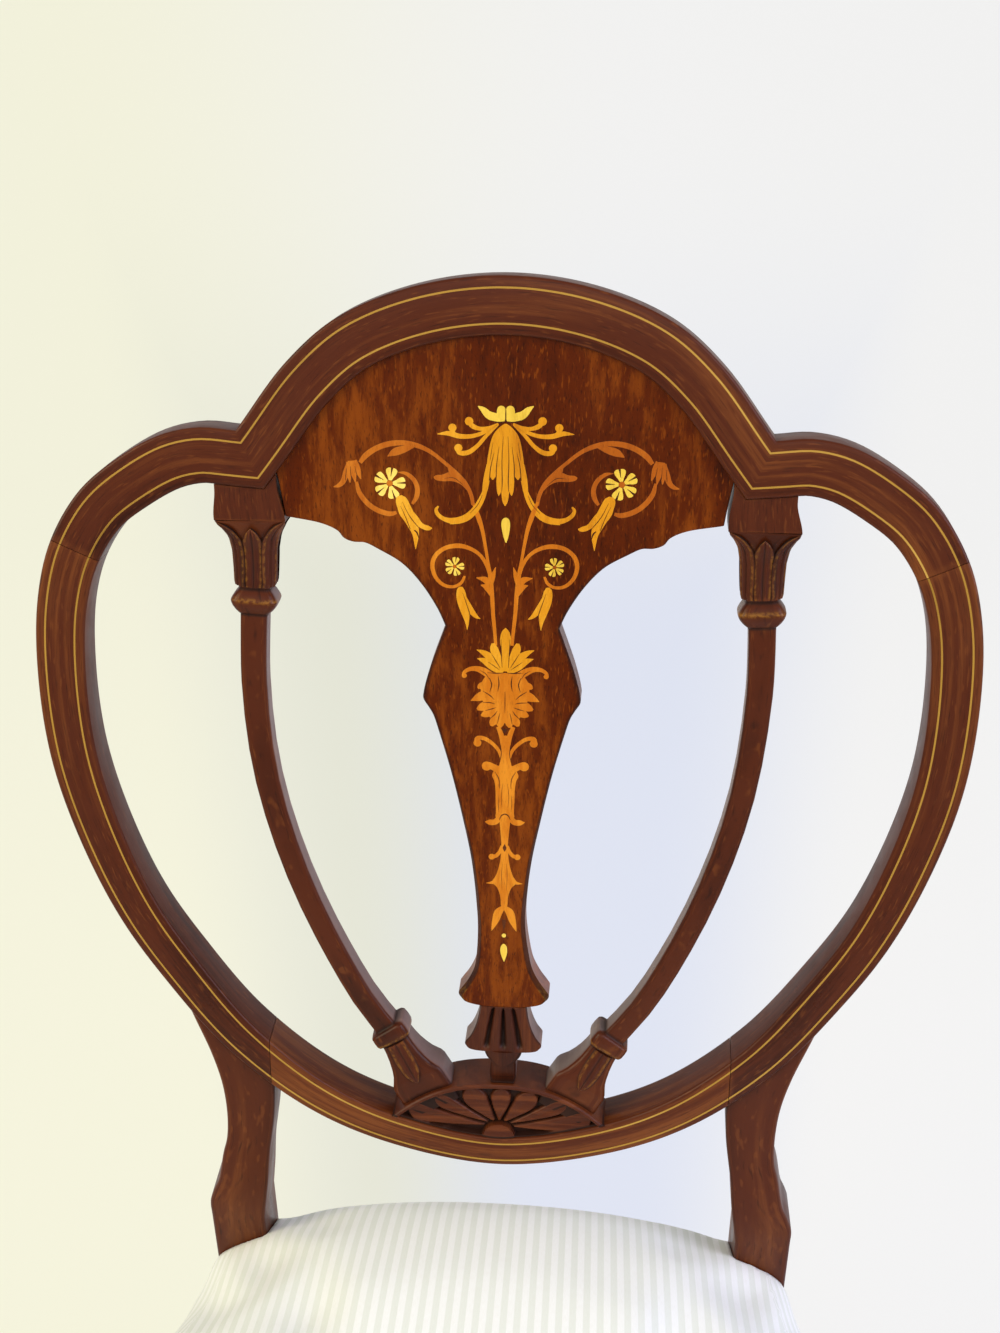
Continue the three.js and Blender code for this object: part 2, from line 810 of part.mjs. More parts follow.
// The space beside the block that the splat's wing takes.
function splatSide() {
  const wing = splatShares.filter(([up]) => up * shieldHeight > cusp.y - barBlock);
  const outline = wing.map(([up, half]) => new THREE.Vector2(half * shieldHalf + fitGap, up * shieldHeight));
  const low = new THREE.Vector2(0, outline[0].y);
  const high = new THREE.Vector2(0, outline[outline.length - 1].y);
  return through([low, ...outline, high], -2 * railDepthLow, 2 * railDepthLow);
}

// Rear legs

// A rectangular section with rounded corners, as points round it.
function blockSection(lowX, highX, lowY, highY, corner) {
  return [
    new THREE.Vector2(lowX + corner, lowY),
    new THREE.Vector2(highX - corner, lowY),
    new THREE.Vector2(highX, lowY + corner),
    new THREE.Vector2(highX, highY - corner),
    new THREE.Vector2(highX - corner, highY),
    new THREE.Vector2(lowX + corner, highY),
    new THREE.Vector2(lowX, highY - corner),
    new THREE.Vector2(lowX, lowY + corner),
  ];
}

// Levels of the right post and leg from the floor up, each with its outer and inner edge and its depth.
function postLevels() {
  const inner = rearPostHalf - postFace;
  const steps = 8;
  const leg = Array.from({ length: steps + 1 }, (_, i) => {
    const rise = i / steps;
    const outerEdge = THREE.MathUtils.lerp(rearFootHalf, rearPostHalf, rise);
    const face = THREE.MathUtils.lerp(rearFootFace, postFace, rise);
    const deep = THREE.MathUtils.lerp(rearFootFace, postDepth, rise);
    return [THREE.MathUtils.lerp(-shieldBase, -seatBlockDrop, rise), outerEdge, outerEdge - face, deep];
  });
  const block = [[-settleDrop, rearPostHalf, inner, postDepth]];
  const post = postShares.map(([up, outerShare, innerShare], i) => [
    up * shieldHeight,
    outerShare * shieldHalf,
    innerShare * shieldHalf,
    THREE.MathUtils.lerp(postDepthHigh, postDepth, i / postShares.length),
  ]);
  return [...leg, ...block, ...post.reverse()];
}

// The right rear leg: stile of the shield, post and sabre leg in one piece, cut for the shoe and rails.
function rearLeg() {
  const levels = postLevels();
  const outlines = levels.map(([, outer, inner, deep]) =>
    blockSection(inner, outer, postRecess, postRecess + deep, postRound));
  const rings = outlines.map((outline, i) =>
    outline.map((point) => new THREE.Vector3(point.x, point.y, levels[i][0])));
  const post = loft(rings, outlines[0]);
  const stile = sweep(stileRun, railSection);
  const whole = within(join(stile, post), between(stileSide, shieldHalf + overrun));
  const flat = cut(join(whole, crestTongue(0)), shoeTongue(fitGap));
  return cut(bend(flat), sideTongue(fitGap), rearTongue(fitGap));
}

// Seat frame

// The faces of a rear post where the seat meets it.
const postCorner = bentPoint(new THREE.Vector3(rearPostHalf, postRecess, -settleDrop));
const postFront = postCorner.y;
const postBack = postFront + postDepth;
const postInner = postCorner.x - postFace;
const seatBack = postBack;
const seatFront = seatBack - seatDepth;

// Half width of the seat at a place from front to back.
function seatHalf(y) {
  return THREE.MathUtils.mapLinear(y, seatFront, seatBack, seatFrontHalf, seatRearHalf);
}

const legBack = seatFront + frontLegTop;
const legOuter = seatHalf(legBack);
const legInner = legOuter - frontLegTop;
const tongueLow = seatRailBottom + seatTenonShoulder;
const tongueHigh = seatRailTop - seatTenonShoulder;

// The tongue of the right side rail that enters the rear post, grown by a clearance.
function sideTongue(clearance) {
  const x = seatHalf(postFront) - seatRailFace / 2;
  return box(
    new THREE.Vector3(x - seatTenonFace / 2 - clearance, postFront - overrun, tongueLow - clearance),
    new THREE.Vector3(x + seatTenonFace / 2 + clearance, postFront + seatTenonLength + clearance,
      tongueHigh + clearance),
  );
}

// The tongue of the right side rail that enters the front leg, grown by a clearance.
function frontSideTongue(clearance) {
  const x = legOuter - seatRailFace / 2;
  return box(
    new THREE.Vector3(x - seatTenonFace / 2 - clearance, legBack - seatTenonLength - clearance,
      tongueLow - clearance),
    new THREE.Vector3(x + seatTenonFace / 2 + clearance, legBack + overrun, tongueHigh + clearance),
  );
}

// The tongue of the rear rail that enters the right post, grown by a clearance.
function rearTongue(clearance) {
  const y = seatBack - seatRailFace / 2;
  return box(
    new THREE.Vector3(postInner - overrun, y - seatTenonFace / 2 - clearance, tongueLow - clearance),
    new THREE.Vector3(postInner + seatTenonLength + clearance, y + seatTenonFace / 2 + clearance,
      tongueHigh + clearance),
  );
}

// The tongue of the front rail that enters the right leg, grown by a clearance.
function frontTongue(clearance) {
  const y = seatFront + seatRailFace / 2;
  return box(
    new THREE.Vector3(legInner - overrun, y - seatTenonFace / 2 - clearance, tongueLow - clearance),
    new THREE.Vector3(legInner + seatTenonLength + clearance, y + seatTenonFace / 2 + clearance,
      tongueHigh + clearance),
  );
}

// The right side rail, which follows the seat's taper from leg to post.
function sideRail() {
  const front = legBack + fitGap;
  const back = postFront - fitGap;
  const outline = [
    new THREE.Vector2(seatHalf(front) - seatRailFace, front),
    new THREE.Vector2(seatHalf(front), front),
    new THREE.Vector2(seatHalf(back), back),
    new THREE.Vector2(seatHalf(back) - seatRailFace, back),
  ];
  return join(raised(outline, seatRailBottom, seatRailTop), sideTongue(0), frontSideTongue(0));
}

// The front rail or the rear rail: a straight board between two legs with a tongue at each end.
function crossRail(reach, front, tongue) {
  const board = box(
    new THREE.Vector3(-reach, front, seatRailBottom),
    new THREE.Vector3(reach, front + seatRailFace, seatRailTop),
  );
  return join(board, tongue, mirrored(tongue));
}

// The brace in the right front corner, which runs from rail to rail behind the leg.
function frontBlock() {
  const railY = seatFront + seatRailFace + fitGap;
  const nearX = legInner - fitGap - (legBack - railY);
  const sideX = (y) => seatHalf(y) - seatRailFace - fitGap;
  const nearY = legBack + fitGap + (sideX(legBack) - legInner);
  const outline = [
    new THREE.Vector2(nearX, railY),
    new THREE.Vector2(sideX(nearY), nearY),
    new THREE.Vector2(sideX(nearY + blockReach), nearY + blockReach),
    new THREE.Vector2(nearX - blockReach, railY),
  ];
  return raised(outline, seatRailTop - blockDrop - blockHeight, seatRailTop - blockDrop);
}

// The block in the right rear corner, notched round the post.
function rearBlock() {
  const railY = seatBack - seatRailFace - fitGap;
  const postX = postInner - fitGap;
  const postY = postFront - fitGap;
  const sideX = (y) => seatHalf(y) - seatRailFace - fitGap;
  const outline = [
    new THREE.Vector2(postX, railY),
    new THREE.Vector2(postX - blockReach, railY),
    new THREE.Vector2(sideX(postY - blockReach), postY - blockReach),
    new THREE.Vector2(sideX(postY), postY),
    new THREE.Vector2(postX, postY),
  ];
  return raised(outline, seatRailTop - blockDrop - blockHeight, seatRailTop - blockDrop);
}

// The seat's outline as a rounded trapezoid, grown by an offset and drawn in towards its middle by a share.
// The corners open out as it draws in, so that the crown is round in the middle of the seat.
function seatOutline(offset, share) {
  const slope = Math.atan2(seatFrontHalf - seatRearHalf, seatDepth);
  const front = seatFront - offset;
  const back = seatBack + offset;
  const frontHalf = seatHalf(front) + offset / Math.cos(slope);
  const backHalf = seatHalf(back) + offset / Math.cos(slope);
  const middle = new THREE.Vector2(0, (seatFront + seatBack) / 2);
  const corners = [
    new THREE.Vector2(-frontHalf, front),
    new THREE.Vector2(frontHalf, front),
    new THREE.Vector2(backHalf, back),
    new THREE.Vector2(-backHalf, back),
  ].map((corner) => middle.clone().lerp(corner, share));
  const open = openCornerShare * seatRearHalf * share;
  const reach = THREE.MathUtils.lerp(open, seatCorner + offset, share ** openCornerPower);
  const turns = corners.map((corner, i) => {
    const before = corners[(i + 3) % 4].clone().sub(corner).setLength(reach).add(corner);
    const after = corners[(i + 1) % 4].clone().sub(corner).setLength(reach).add(corner);
    return new THREE.QuadraticBezierCurve(before, corner, after).getPoints(cornerSteps);
  });
  return turns.flatMap((turn, i) => {
    const from = turn[cornerSteps];
    const to = turns[(i + 1) % 4][0];
    const side = Array.from({ length: sideSteps - 1 }, (_, j) => from.clone().lerp(to, (j + 1) / sideSteps));
    return [...turn, ...side];
  });
}

// Front legs

// The right front leg: a square block in the seat frame, a tapered shaft and a spade foot.
function frontLeg() {
  const inner = (face) => legOuter - (frontLegTop - face) / 2 - face;
  const rows = [
    [0, spadeFoot],
    [spadeHeight - spadeShoulder, spadeFace],
    [spadeHeight, frontLegAnkle],
    [seatRailBottom, frontLegTop],
    [seatRailTop - fitGap, frontLegTop],
  ];
  const outlines = rows.map(([, face]) => {
    const low = inner(face);
    const near = seatFront + (frontLegTop - face) / 2;
    return blockSection(low, low + face, near, near + face, legRound);
  });
  const rings = outlines.map((outline, i) =>
    outline.map((point) => new THREE.Vector3(point.x, point.y, rows[i][0])));
  const whole = loft(rings, outlines[0]);
  const limit = join(
    raised(seatOutline(0, 1), seatRailBottom, seatRailTop + overrun),
    box(
      new THREE.Vector3(0, seatFront - overrun, -overrun),
      new THREE.Vector3(seatFrontHalf + overrun, 0, seatRailBottom),
    ),
  );
  return cut(within(whole, limit), frontSideTongue(fitGap), frontTongue(fitGap));
}

// Seat upholstery

// The spaces that the rear posts take from the seat, grown by a clearance.
function postSpace(clearance) {
  return box(
    new THREE.Vector3(postInner - clearance, postFront - clearance, -overrun),
    new THREE.Vector3(rearPostHalf + postFace, postBack + postFace, shieldBase),
  );
}

function clearOfPosts(geometry) {
  return cut(geometry, postSpace(fitGap), mirrored(postSpace(fitGap)));
}

// A webbing strap from the front rail to the rear rail.
function longWeb(i) {
  const pitch = (2 * postInner) / webCount;
  const x = pitch * (i + 1 / 2) - postInner;
  return box(
    new THREE.Vector3(x - webWidth / 2, seatFront + seatRailFace / 2, webLow),
    new THREE.Vector3(x + webWidth / 2, seatBack - seatRailFace / 2, webLow + webThick),
  );
}

// A webbing strap from side rail to side rail.
function crossWeb(i) {
  const pitch = (postFront - legBack) / webCount;
  const y = legBack + pitch * (i + 1 / 2);
  const back = y + webWidth / 2;
  const reach = seatHalf(back) - seatRailFace / 2;
  return box(
    new THREE.Vector3(-reach, y - webWidth / 2, crossLow),
    new THREE.Vector3(reach, back, crossLow + webThick),
  );
}

// How much of the seat's thickness is left at a place. It falls away into the two rear corners.
function cornerFill(point) {
  const near = Math.max(1 - (seatBack - point.y) / padCornerRun, 0);
  return 1 - (near * point.x / seatRearHalf) ** 2;
}

// The crowned form of the seat grown by an offset, as rings from its edge to its middle.
function padRings(offset) {
  return padShares.map((share) => {
    const thick = padRoll * Math.sqrt(1 - share ** padRollPower) + padCrown * (1 - share * share);
    const fills = seatOutline(0, share).map(cornerFill);
    return seatOutline(offset, share).map((point, i) =>
      new THREE.Vector3(point.x, point.y, padLow + offset + thick * fills[i]));
  });
}

// A level ring of the seat's outline.
function levelRing(offset, height) {
  return seatOutline(offset, 1).map((point) => new THREE.Vector3(point.x, point.y, height));
}

// The hessian over the webbing, cut round the posts.
function hessian() {
  return clearOfPosts(raised(seatOutline(-clothInset, 1), hessianLow, hessianLow + hessianThick));
}

// The stuffing on the hessian, crowned and rolled at its edges.
function stuffing() {
  return clearOfPosts(loft([levelRing(0, padLow), ...padRings(0)], seatOutline(0, 1)));
}

// The fabric over the stuffing and down the rails to their lower edge, as a thin open shell.
function cover() {
  const outside = [levelRing(fitGap + coverThick, seatRailBottom), ...padRings(fitGap + coverThick)];
  const inside = [levelRing(fitGap, seatRailBottom - overrun), ...padRings(fitGap)];
  const section = seatOutline(fitGap, 1);
  return clearOfPosts(cut(loft(outside, section), loft(inside, section)));
}

// The cloth that closes the underside of the seat, cut round the legs.
function bottomCloth() {
  const high = seatRailBottom - fitGap;
  const sheet = raised(seatOutline(-clothInset, 1), high - clothThick, high);
  const legSpace = box(
    new THREE.Vector3(legInner - fitGap, seatFront - overrun, 0),
    new THREE.Vector3(seatFrontHalf + overrun, legBack + fitGap, seatRailBottom),
  );
  return clearOfPosts(cut(sheet, legSpace, mirrored(legSpace)));
}

// The chair

const chair = new THREE.Group();
chair.name = "shield_back_chair";

// Adds a named piece to the chair.
function add(name, geometry, finish) {
  const flat = geometry.getIndex() ? geometry.toNonIndexed() : geometry;
  flat.computeVertexNormals();
  const mesh = new THREE.Mesh(flat, new THREE.MeshStandardMaterial(finish));
  mesh.name = name;
  chair.add(mesh);
}

// Adds a piece for the right side and its mirror image for the left.
function addPair(name, geometry, finish) {
  add(name + "_left", mirrored(geometry), finish);
  add(name + "_right", geometry, finish);
}

const shoe = cut(
  join(
    within(sweep(shoeRun, railSection), between(-shoeEnd, shoeEnd)),
    shoeTongue(0),
    mirrored(shoeTongue(0)),
  ),
  lunetteSlot(),
);
const crest = cut(
  sweep(crestRun, railSection),
  crestTongue(fitGap),
  mirrored(crestTongue(fitGap)),
  barTongue(fitGap),
  mirrored(barTongue(fitGap)),
);

add("crest_rail", bend(crest), mahogany);
add("shield_shoe", bend(shoe), mahogany);
addPair("rear_leg", rearLeg(), mahogany);
add("fan_lunette", bend(fanLunette()), mahogany);
add("splat", bend(splat()), mahoganyPanel);
addPair("bar", bend(curvedBar()), mahogany);

["outer", "inner"].forEach((edge, i) => {
  const section = (place) => stringSection(place, i);
  add("crest_string_" + edge, bend(sweep(crestRun, section)), boxwood);
  const shoeLine = within(sweep(shoeRun, section), between(-shoeEnd, shoeEnd));
  add("shoe_string_" + edge, bend(shoeLine), boxwood);
  const stileLine = within(sweep(stileRun, section), between(stileSide, shieldHalf + overrun));
  addPair("stile_string_" + edge, bend(stileLine), boxwood);
});

addPair("seat_rail", sideRail(), beech);
add("seat_rail_front", crossRail(legInner - fitGap, seatFront, frontTongue(0)), beech);
add("seat_rail_rear", crossRail(postInner - fitGap, seatBack - seatRailFace, rearTongue(0)), beech);
addPair("front_leg", frontLeg(), mahogany);
addPair("corner_block_front", frontBlock(), beech);
addPair("corner_block_rear", rearBlock(), beech);
for (let i = 0; i < webCount; i += 1) {
  add("webbing_long_" + (i + 1), longWeb(i), jute);
  add("webbing_cross_" + (i + 1), crossWeb(i), jute);
}
add("seat_hessian", hessian(), jute);
add("seat_stuffing", stuffing(), wadding);
add("seat_cover", cover(), satin);
add("bottom_cloth", bottomCloth(), blackCloth);

// The origin is on the floor below the middle of the chair.
const bounds = new THREE.Box3().setFromObject(chair);
chair.children.forEach((mesh) => {
  mesh.position.y = -(bounds.min.y + bounds.max.y) / 2;
});

export default chair;
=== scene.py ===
"""Inlaid mahogany shield back chair, dressed for the photograph's view.

The back is drawn flat, in millimetres: across from the middle, up from the shield's lowest point, and deep
from the front face of the shield frame. ChairForm.bend carries flat points onto the chair, in metres.
"""

import logging
import math
from dataclasses import dataclass, field
from enum import Enum
from functools import partial
from typing import Dict, List, Optional, Sequence, Tuple

import bmesh
import bpy
import numpy as np
from mathutils import Matrix, Vector


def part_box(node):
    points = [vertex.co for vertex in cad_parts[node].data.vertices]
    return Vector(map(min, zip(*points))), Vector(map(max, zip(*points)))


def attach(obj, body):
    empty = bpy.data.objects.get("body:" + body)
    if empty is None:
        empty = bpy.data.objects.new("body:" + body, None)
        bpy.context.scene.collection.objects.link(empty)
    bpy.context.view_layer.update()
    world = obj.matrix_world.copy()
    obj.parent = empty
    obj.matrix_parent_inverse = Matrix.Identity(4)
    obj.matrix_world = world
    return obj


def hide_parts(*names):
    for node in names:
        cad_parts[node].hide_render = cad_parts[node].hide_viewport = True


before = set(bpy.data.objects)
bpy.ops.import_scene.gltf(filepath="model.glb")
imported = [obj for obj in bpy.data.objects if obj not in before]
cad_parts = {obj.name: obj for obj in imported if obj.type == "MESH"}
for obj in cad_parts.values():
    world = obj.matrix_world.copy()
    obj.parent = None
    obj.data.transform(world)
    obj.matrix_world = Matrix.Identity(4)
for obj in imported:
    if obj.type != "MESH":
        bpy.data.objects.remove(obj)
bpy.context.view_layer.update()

BODY = "root"
MM = 0.001
SURFACE = "surface"
# Point marks: grime and painted shade in hollows, painted gold highlights, and a painted sheen on side faces.
MARKS = ("hollow_shade", "gilt_highlight", "pale")
Array = np.ndarray
Row = Tuple[float, ...]
Spot = Tuple[float, float, float]
Colour = Tuple[float, float, float, float]
Stations = Tuple[Array, Array, Array]
Piece = bpy.types.Object
Material = bpy.types.Material
Socket = bpy.types.NodeSocket
Node = bpy.types.Node
Tree = bpy.types.NodeTree
Groups = Dict[str, Tree]

log = logging.getLogger("shield_back_chair")


# Shapes


@dataclass(frozen=True)
class ChairForm:
    """Stance and bend of the chair's back, in millimetres and degrees."""

    base: float = 480.0
    lean: float = 11.0
    dish: float = 2500.0
    settle: float = 49.2
    block_drop: float = 146.0
    sweep: float = 62.0
    power: float = 1.7
    post_middle: float = 156.0
    forward: float = 144.03

    def bend(self, flat: Array) -> Array:
        """Carries flat points onto the chair.

        Across is turned round a large radius, so that the shield is dished. Depth and height then follow a
        line that leans above the shield's lowest point, straightens through the seat and sweeps back down
        the legs, which stand square.

        Args:
            flat: Rows of across, deep and up, in millimetres.

        Returns:
            Rows of x, y and z in metres.
        """
        x, y, z = np.asarray(flat, float).T
        lean = math.radians(self.lean)
        above = z >= 0
        settled = np.clip(-z / self.settle, 0, 1)
        swept = np.clip((-z - self.block_drop) / (self.base - self.block_drop), 0, None)
        forward = math.tan(lean) * self.settle * (settled - settled**2 / 2)
        back = np.where(above, z * math.sin(lean), self.sweep * swept**self.power - forward)
        height = np.where(above, self.base + z * math.cos(lean), self.base + z)
        here = np.where(above, lean, lean * (1 - settled))
        straight = settled * settled * (3 - 2 * settled)
        turn = x / self.dish
        square = y + self.dish * (math.cos(self.post_middle / self.dish) - 1)
        across = (self.dish + y) * np.sin(turn) * (1 - straight) + x * straight
        depth = ((self.dish + y) * np.cos(turn) - self.dish) * (1 - straight) + square * straight
        bent = np.stack([across, back + depth * np.cos(here) + self.forward, height - depth * np.sin(here)])
        return bent.T * MM


FORM = ChairForm()


def mix(low: Array, high: Array, share: Array) -> Array:
    """The values a share of the way from low to high."""
    return low + (high - low) * share


def ease(value: Array, low: float, high: float) -> Array:
    """Smooth step: 0 up to low, 1 from high on, level at both ends."""
    share = np.clip((np.asarray(value, float) - low) / (high - low), 0, 1)
    return share * share * (3 - 2 * share)


def spline(points: Sequence[Row], steps: int = 24) -> Array:
    """A centripetal Catmull-Rom curve through points, with mirrored ends.

    Each stretch is the cubic whose end slopes come from its neighbours, weighted by the square roots of the
    distances between the points.

    Args:
        points: The points, of any number of coordinates.
        steps: Samples for each stretch.

    Returns:
        The samples as rows.
    """
    path = np.asarray(points, float)
    ends = np.vstack([2 * path[0] - path[1], path, 2 * path[-1] - path[-2]])
    p0, p1, p2, p3 = ends[:-3], ends[1:-2], ends[2:-1], ends[3:]
    gap = [np.sqrt(np.linalg.norm(b - a, axis=1))[:, None] for a, b in ((p0, p1), (p1, p2), (p2, p3))]
    out = ((p1 - p0) / gap[0] - (p2 - p0) / (gap[0] + gap[1]) + (p2 - p1) / gap[1]) * gap[1]
    back = ((p2 - p1) / gap[1] - (p3 - p1) / (gap[1] + gap[2]) + (p3 - p2) / gap[2]) * gap[1]
    t = (np.arange(steps) / steps)[None, :, None]
    start, end, out, back = (value[:, None, :] for value in (p1, p2, out, back))
    bend, twist = 3 * (end - start) - 2 * out - back, 2 * (start - end) + out + back
    curve = start + out * t + bend * t**2 + twist * t**3
    return np.vstack([curve.reshape(-1, path.shape[1]), path[-1]])


def along(path: Array, shares: Array) -> Array:
    """Points of a dense path at shares of its length across its first two coordinates."""
    run = np.concatenate([[0], np.cumsum(np.linalg.norm(np.diff(path[:, :2], axis=0), axis=1))])
    places = np.clip(shares, 0, 1) * run[-1]
    return np.stack([np.interp(places, run, path[:, i]) for i in range(path.shape[1])], axis=1)


def length_of(path: Array) -> float:
    """Length of a path across its first two coordinates."""
    return float(np.linalg.norm(np.diff(path[:, :2], axis=0), axis=1).sum())


def left_normals(path: Array) -> Array:
    """Unit directions to the left of a flat path at each of its points."""
    run = np.gradient(path[:, :2], axis=0)
    run /= np.maximum(np.linalg.norm(run, axis=1, keepdims=True), 1e-9)
    return np.stack([-run[:, 1], run[:, 0]], axis=1)


@dataclass
class Shell:
    """Vertices, faces and surface coordinates of one piece before it becomes a mesh."""

    points: List[Array] = field(default_factory=list)
    faces: List[Tuple[int, ...]] = field(default_factory=list)
    places: List[Array] = field(default_factory=list)
    tints: List[Array] = field(default_factory=list)
    marks: List[Array] = field(default_factory=list)

    def count(self) -> int:
        """How many points it has so far."""
        return sum(len(part) for part in self.points)

    def add(self, points: Array, faces: Sequence[Sequence[int]], places: Optional[Array] = None,
            tint: float = 0.0, marks: Optional[Array] = None) -> "Shell":
        """Adds points and the faces between them.

        Args:
            points: Rows of coordinates.
            faces: Faces as numbers of those rows.
            places: Surface coordinates of the rows, or None for across and up.
            tint: One number for the whole part, which materials may read as its tone.
            marks: For every row how much grime and painted shade, painted gold highlight and painted sheen
                its
            surface takes, or None for none of them.

        Returns:
            This shell.
        """
        start = self.count()
        self.points.append(np.asarray(points, float))
        self.faces.extend(tuple(int(i) + start for i in face) for face in faces)
        flat = self.points[-1][:, [0, 2]] if places is None else np.asarray(places, float)
        self.places.append(flat * MM)
        self.tints.append(np.full(len(points), tint))
        bare = np.zeros((len(points), 3))
        self.marks.append(bare if marks is None else np.asarray(marks, float).reshape(-1, 3))
        return self

    def grid(self, rows: Array, places: Optional[Array] = None, closed: bool = True, tint: float = 0.0,
             marks: Optional[Array] = None) -> "Shell":
        """Adds a grid of rows by columns as four-sided faces.

        Args:
            rows: Points as rows by columns by three.
            places: Surface coordinates as rows by columns by two.
            closed: Whether it is a tube, whose last column joins the first and whose first and last rows are
                closed by faces that join opposite points.
            tint: One number for the whole part.
            marks: How much grime and painted shade, painted gold highlight and painted sheen every point
                takes,
            as rows by columns by three.

        Returns:
            This shell.
        """
        down, across = rows.shape[:2]
        number = np.arange(down * across).reshape(down, across)
        if closed:
            number = np.hstack([number, number[:, :1]])
        a, b, c, d = number[:-1, :-1], number[:-1, 1:], number[1:, 1:], number[1:, :-1]
        quads = np.stack([a, b, c, d], axis=-1).reshape(-1, 4).tolist()
        if closed:
            half = np.arange(across // 2 - 1)
            strip = np.stack([half, half + 1, across - 2 - half, across - 1 - half], axis=1)
            quads += strip[:, ::-1].tolist() + (strip + (down - 1) * across).tolist()
        flat = None if places is None else places.reshape(-1, 2)
        return self.add(rows.reshape(-1, 3), quads, flat, tint, marks)

    def mesh(self, name: str, bend: bool = True, smooth: float = 35.0) -> Piece:
        """Makes the piece's object, with its faces outward and its edges smooth up to an angle.

        Args:
            name: The piece's name.
            bend: Whether the points are flat and have to be bent onto the chair.
            smooth: Largest angle between faces that still look smooth, in degrees.

        Returns:
            The new object, linked to the scene.
        """
        points = np.vstack(self.points)
        data = bpy.data.meshes.new(name)
        data.from_pydata((FORM.bend(points) if bend else points * MM).tolist(), [], self.faces)
        data.update()
        lay_surface(data, np.vstack(self.places))
        values = np.column_stack([np.concatenate(self.tints), np.vstack(self.marks)]).astype(np.float32)
        for key, column in zip(("tone", *MARKS), values.T):
            data.attributes.new(key, "FLOAT", "POINT").data.foreach_set("value", column.copy())
        piece = bpy.data.objects.new(name, data)
        bpy.context.scene.collection.objects.link(piece)
        face_out(piece)
        smooth_edges(piece, smooth)
        return piece


def lay_surface(data: bpy.types.Mesh, places: Array) -> None:
    """Writes surface coordinates, given in metres for every vertex, as the mesh's own map."""
    corner = np.zeros(len(data.loops), np.int32)
    data.loops.foreach_get("vertex_index", corner)
    layer = data.uv_layers.get(SURFACE) or data.uv_layers.new(name=SURFACE)
    layer.data.foreach_set("uv", places[corner].astype(np.float32).ravel())


def spots_of(data: bpy.types.Mesh) -> Array:
    """The mesh's vertices as rows of x, y and z in metres."""
    spots = np.empty(len(data.vertices) * 3)
    data.vertices.foreach_get("co", spots)
    return spots.reshape(-1, 3)


def put_spots(data: bpy.types.Mesh, spots: Array) -> None:
    """Moves the mesh's vertices to rows of x, y and z in metres."""
    data.vertices.foreach_set("co", spots.ravel())
    data.update()


def slab(x: Array, near: Array, far: Array, up: Array) -> Array:
    """Closed sections of a board: the columns of its near face, then those of its far face in return order.

    Args:
        x: Across, rows by columns.
        near: Depth of the near face.
        far: Depth of the far face.
        up: Height, rows by columns.

    Returns:
        Points as rows by twice the columns by three.
    """
    front, back = (np.stack(np.broadcast_arrays(x, deep, up), axis=-1) for deep in (near, far))
    return np.concatenate([front, back[:, ::-1]], axis=1)


def face_out(piece: Piece) -> None:
    """Turns every closed part's faces outward."""
    work = bmesh.new()
    work.from_mesh(piece.data)
    bmesh.ops.recalc_face_normals(work, faces=work.faces)
    work.to_mesh(piece.data)
    work.free()
    piece.data.update()


def smooth_edges(piece: Piece, angle: float) -> None:
    """Shades faces smooth and keeps edges sharper than an angle crisp."""
    data = piece.data
    data.polygons.foreach_set("use_smooth", np.ones(len(data.polygons), bool))
    data.set_sharp_from_angle(angle=math.radians(angle))
    data.update()


def settle_in(piece: Piece, material: Material, slot: str, *nodes: str) -> Piece:
    """Gives a finished piece its finish and its place in the frame.

    Args:
        piece: The piece.
        material: Its finish.
        slot: Not used.
        nodes: CAD nodes that it stands for.

    Returns:
        The piece.
    """
    piece.data.materials.clear()
    piece.data.materials.append(material)
    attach(piece, BODY)
    if nodes:
        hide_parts(*nodes)
    log.info("%s: %d faces", piece.name, len(piece.data.polygons))
    return piece


# Finishes


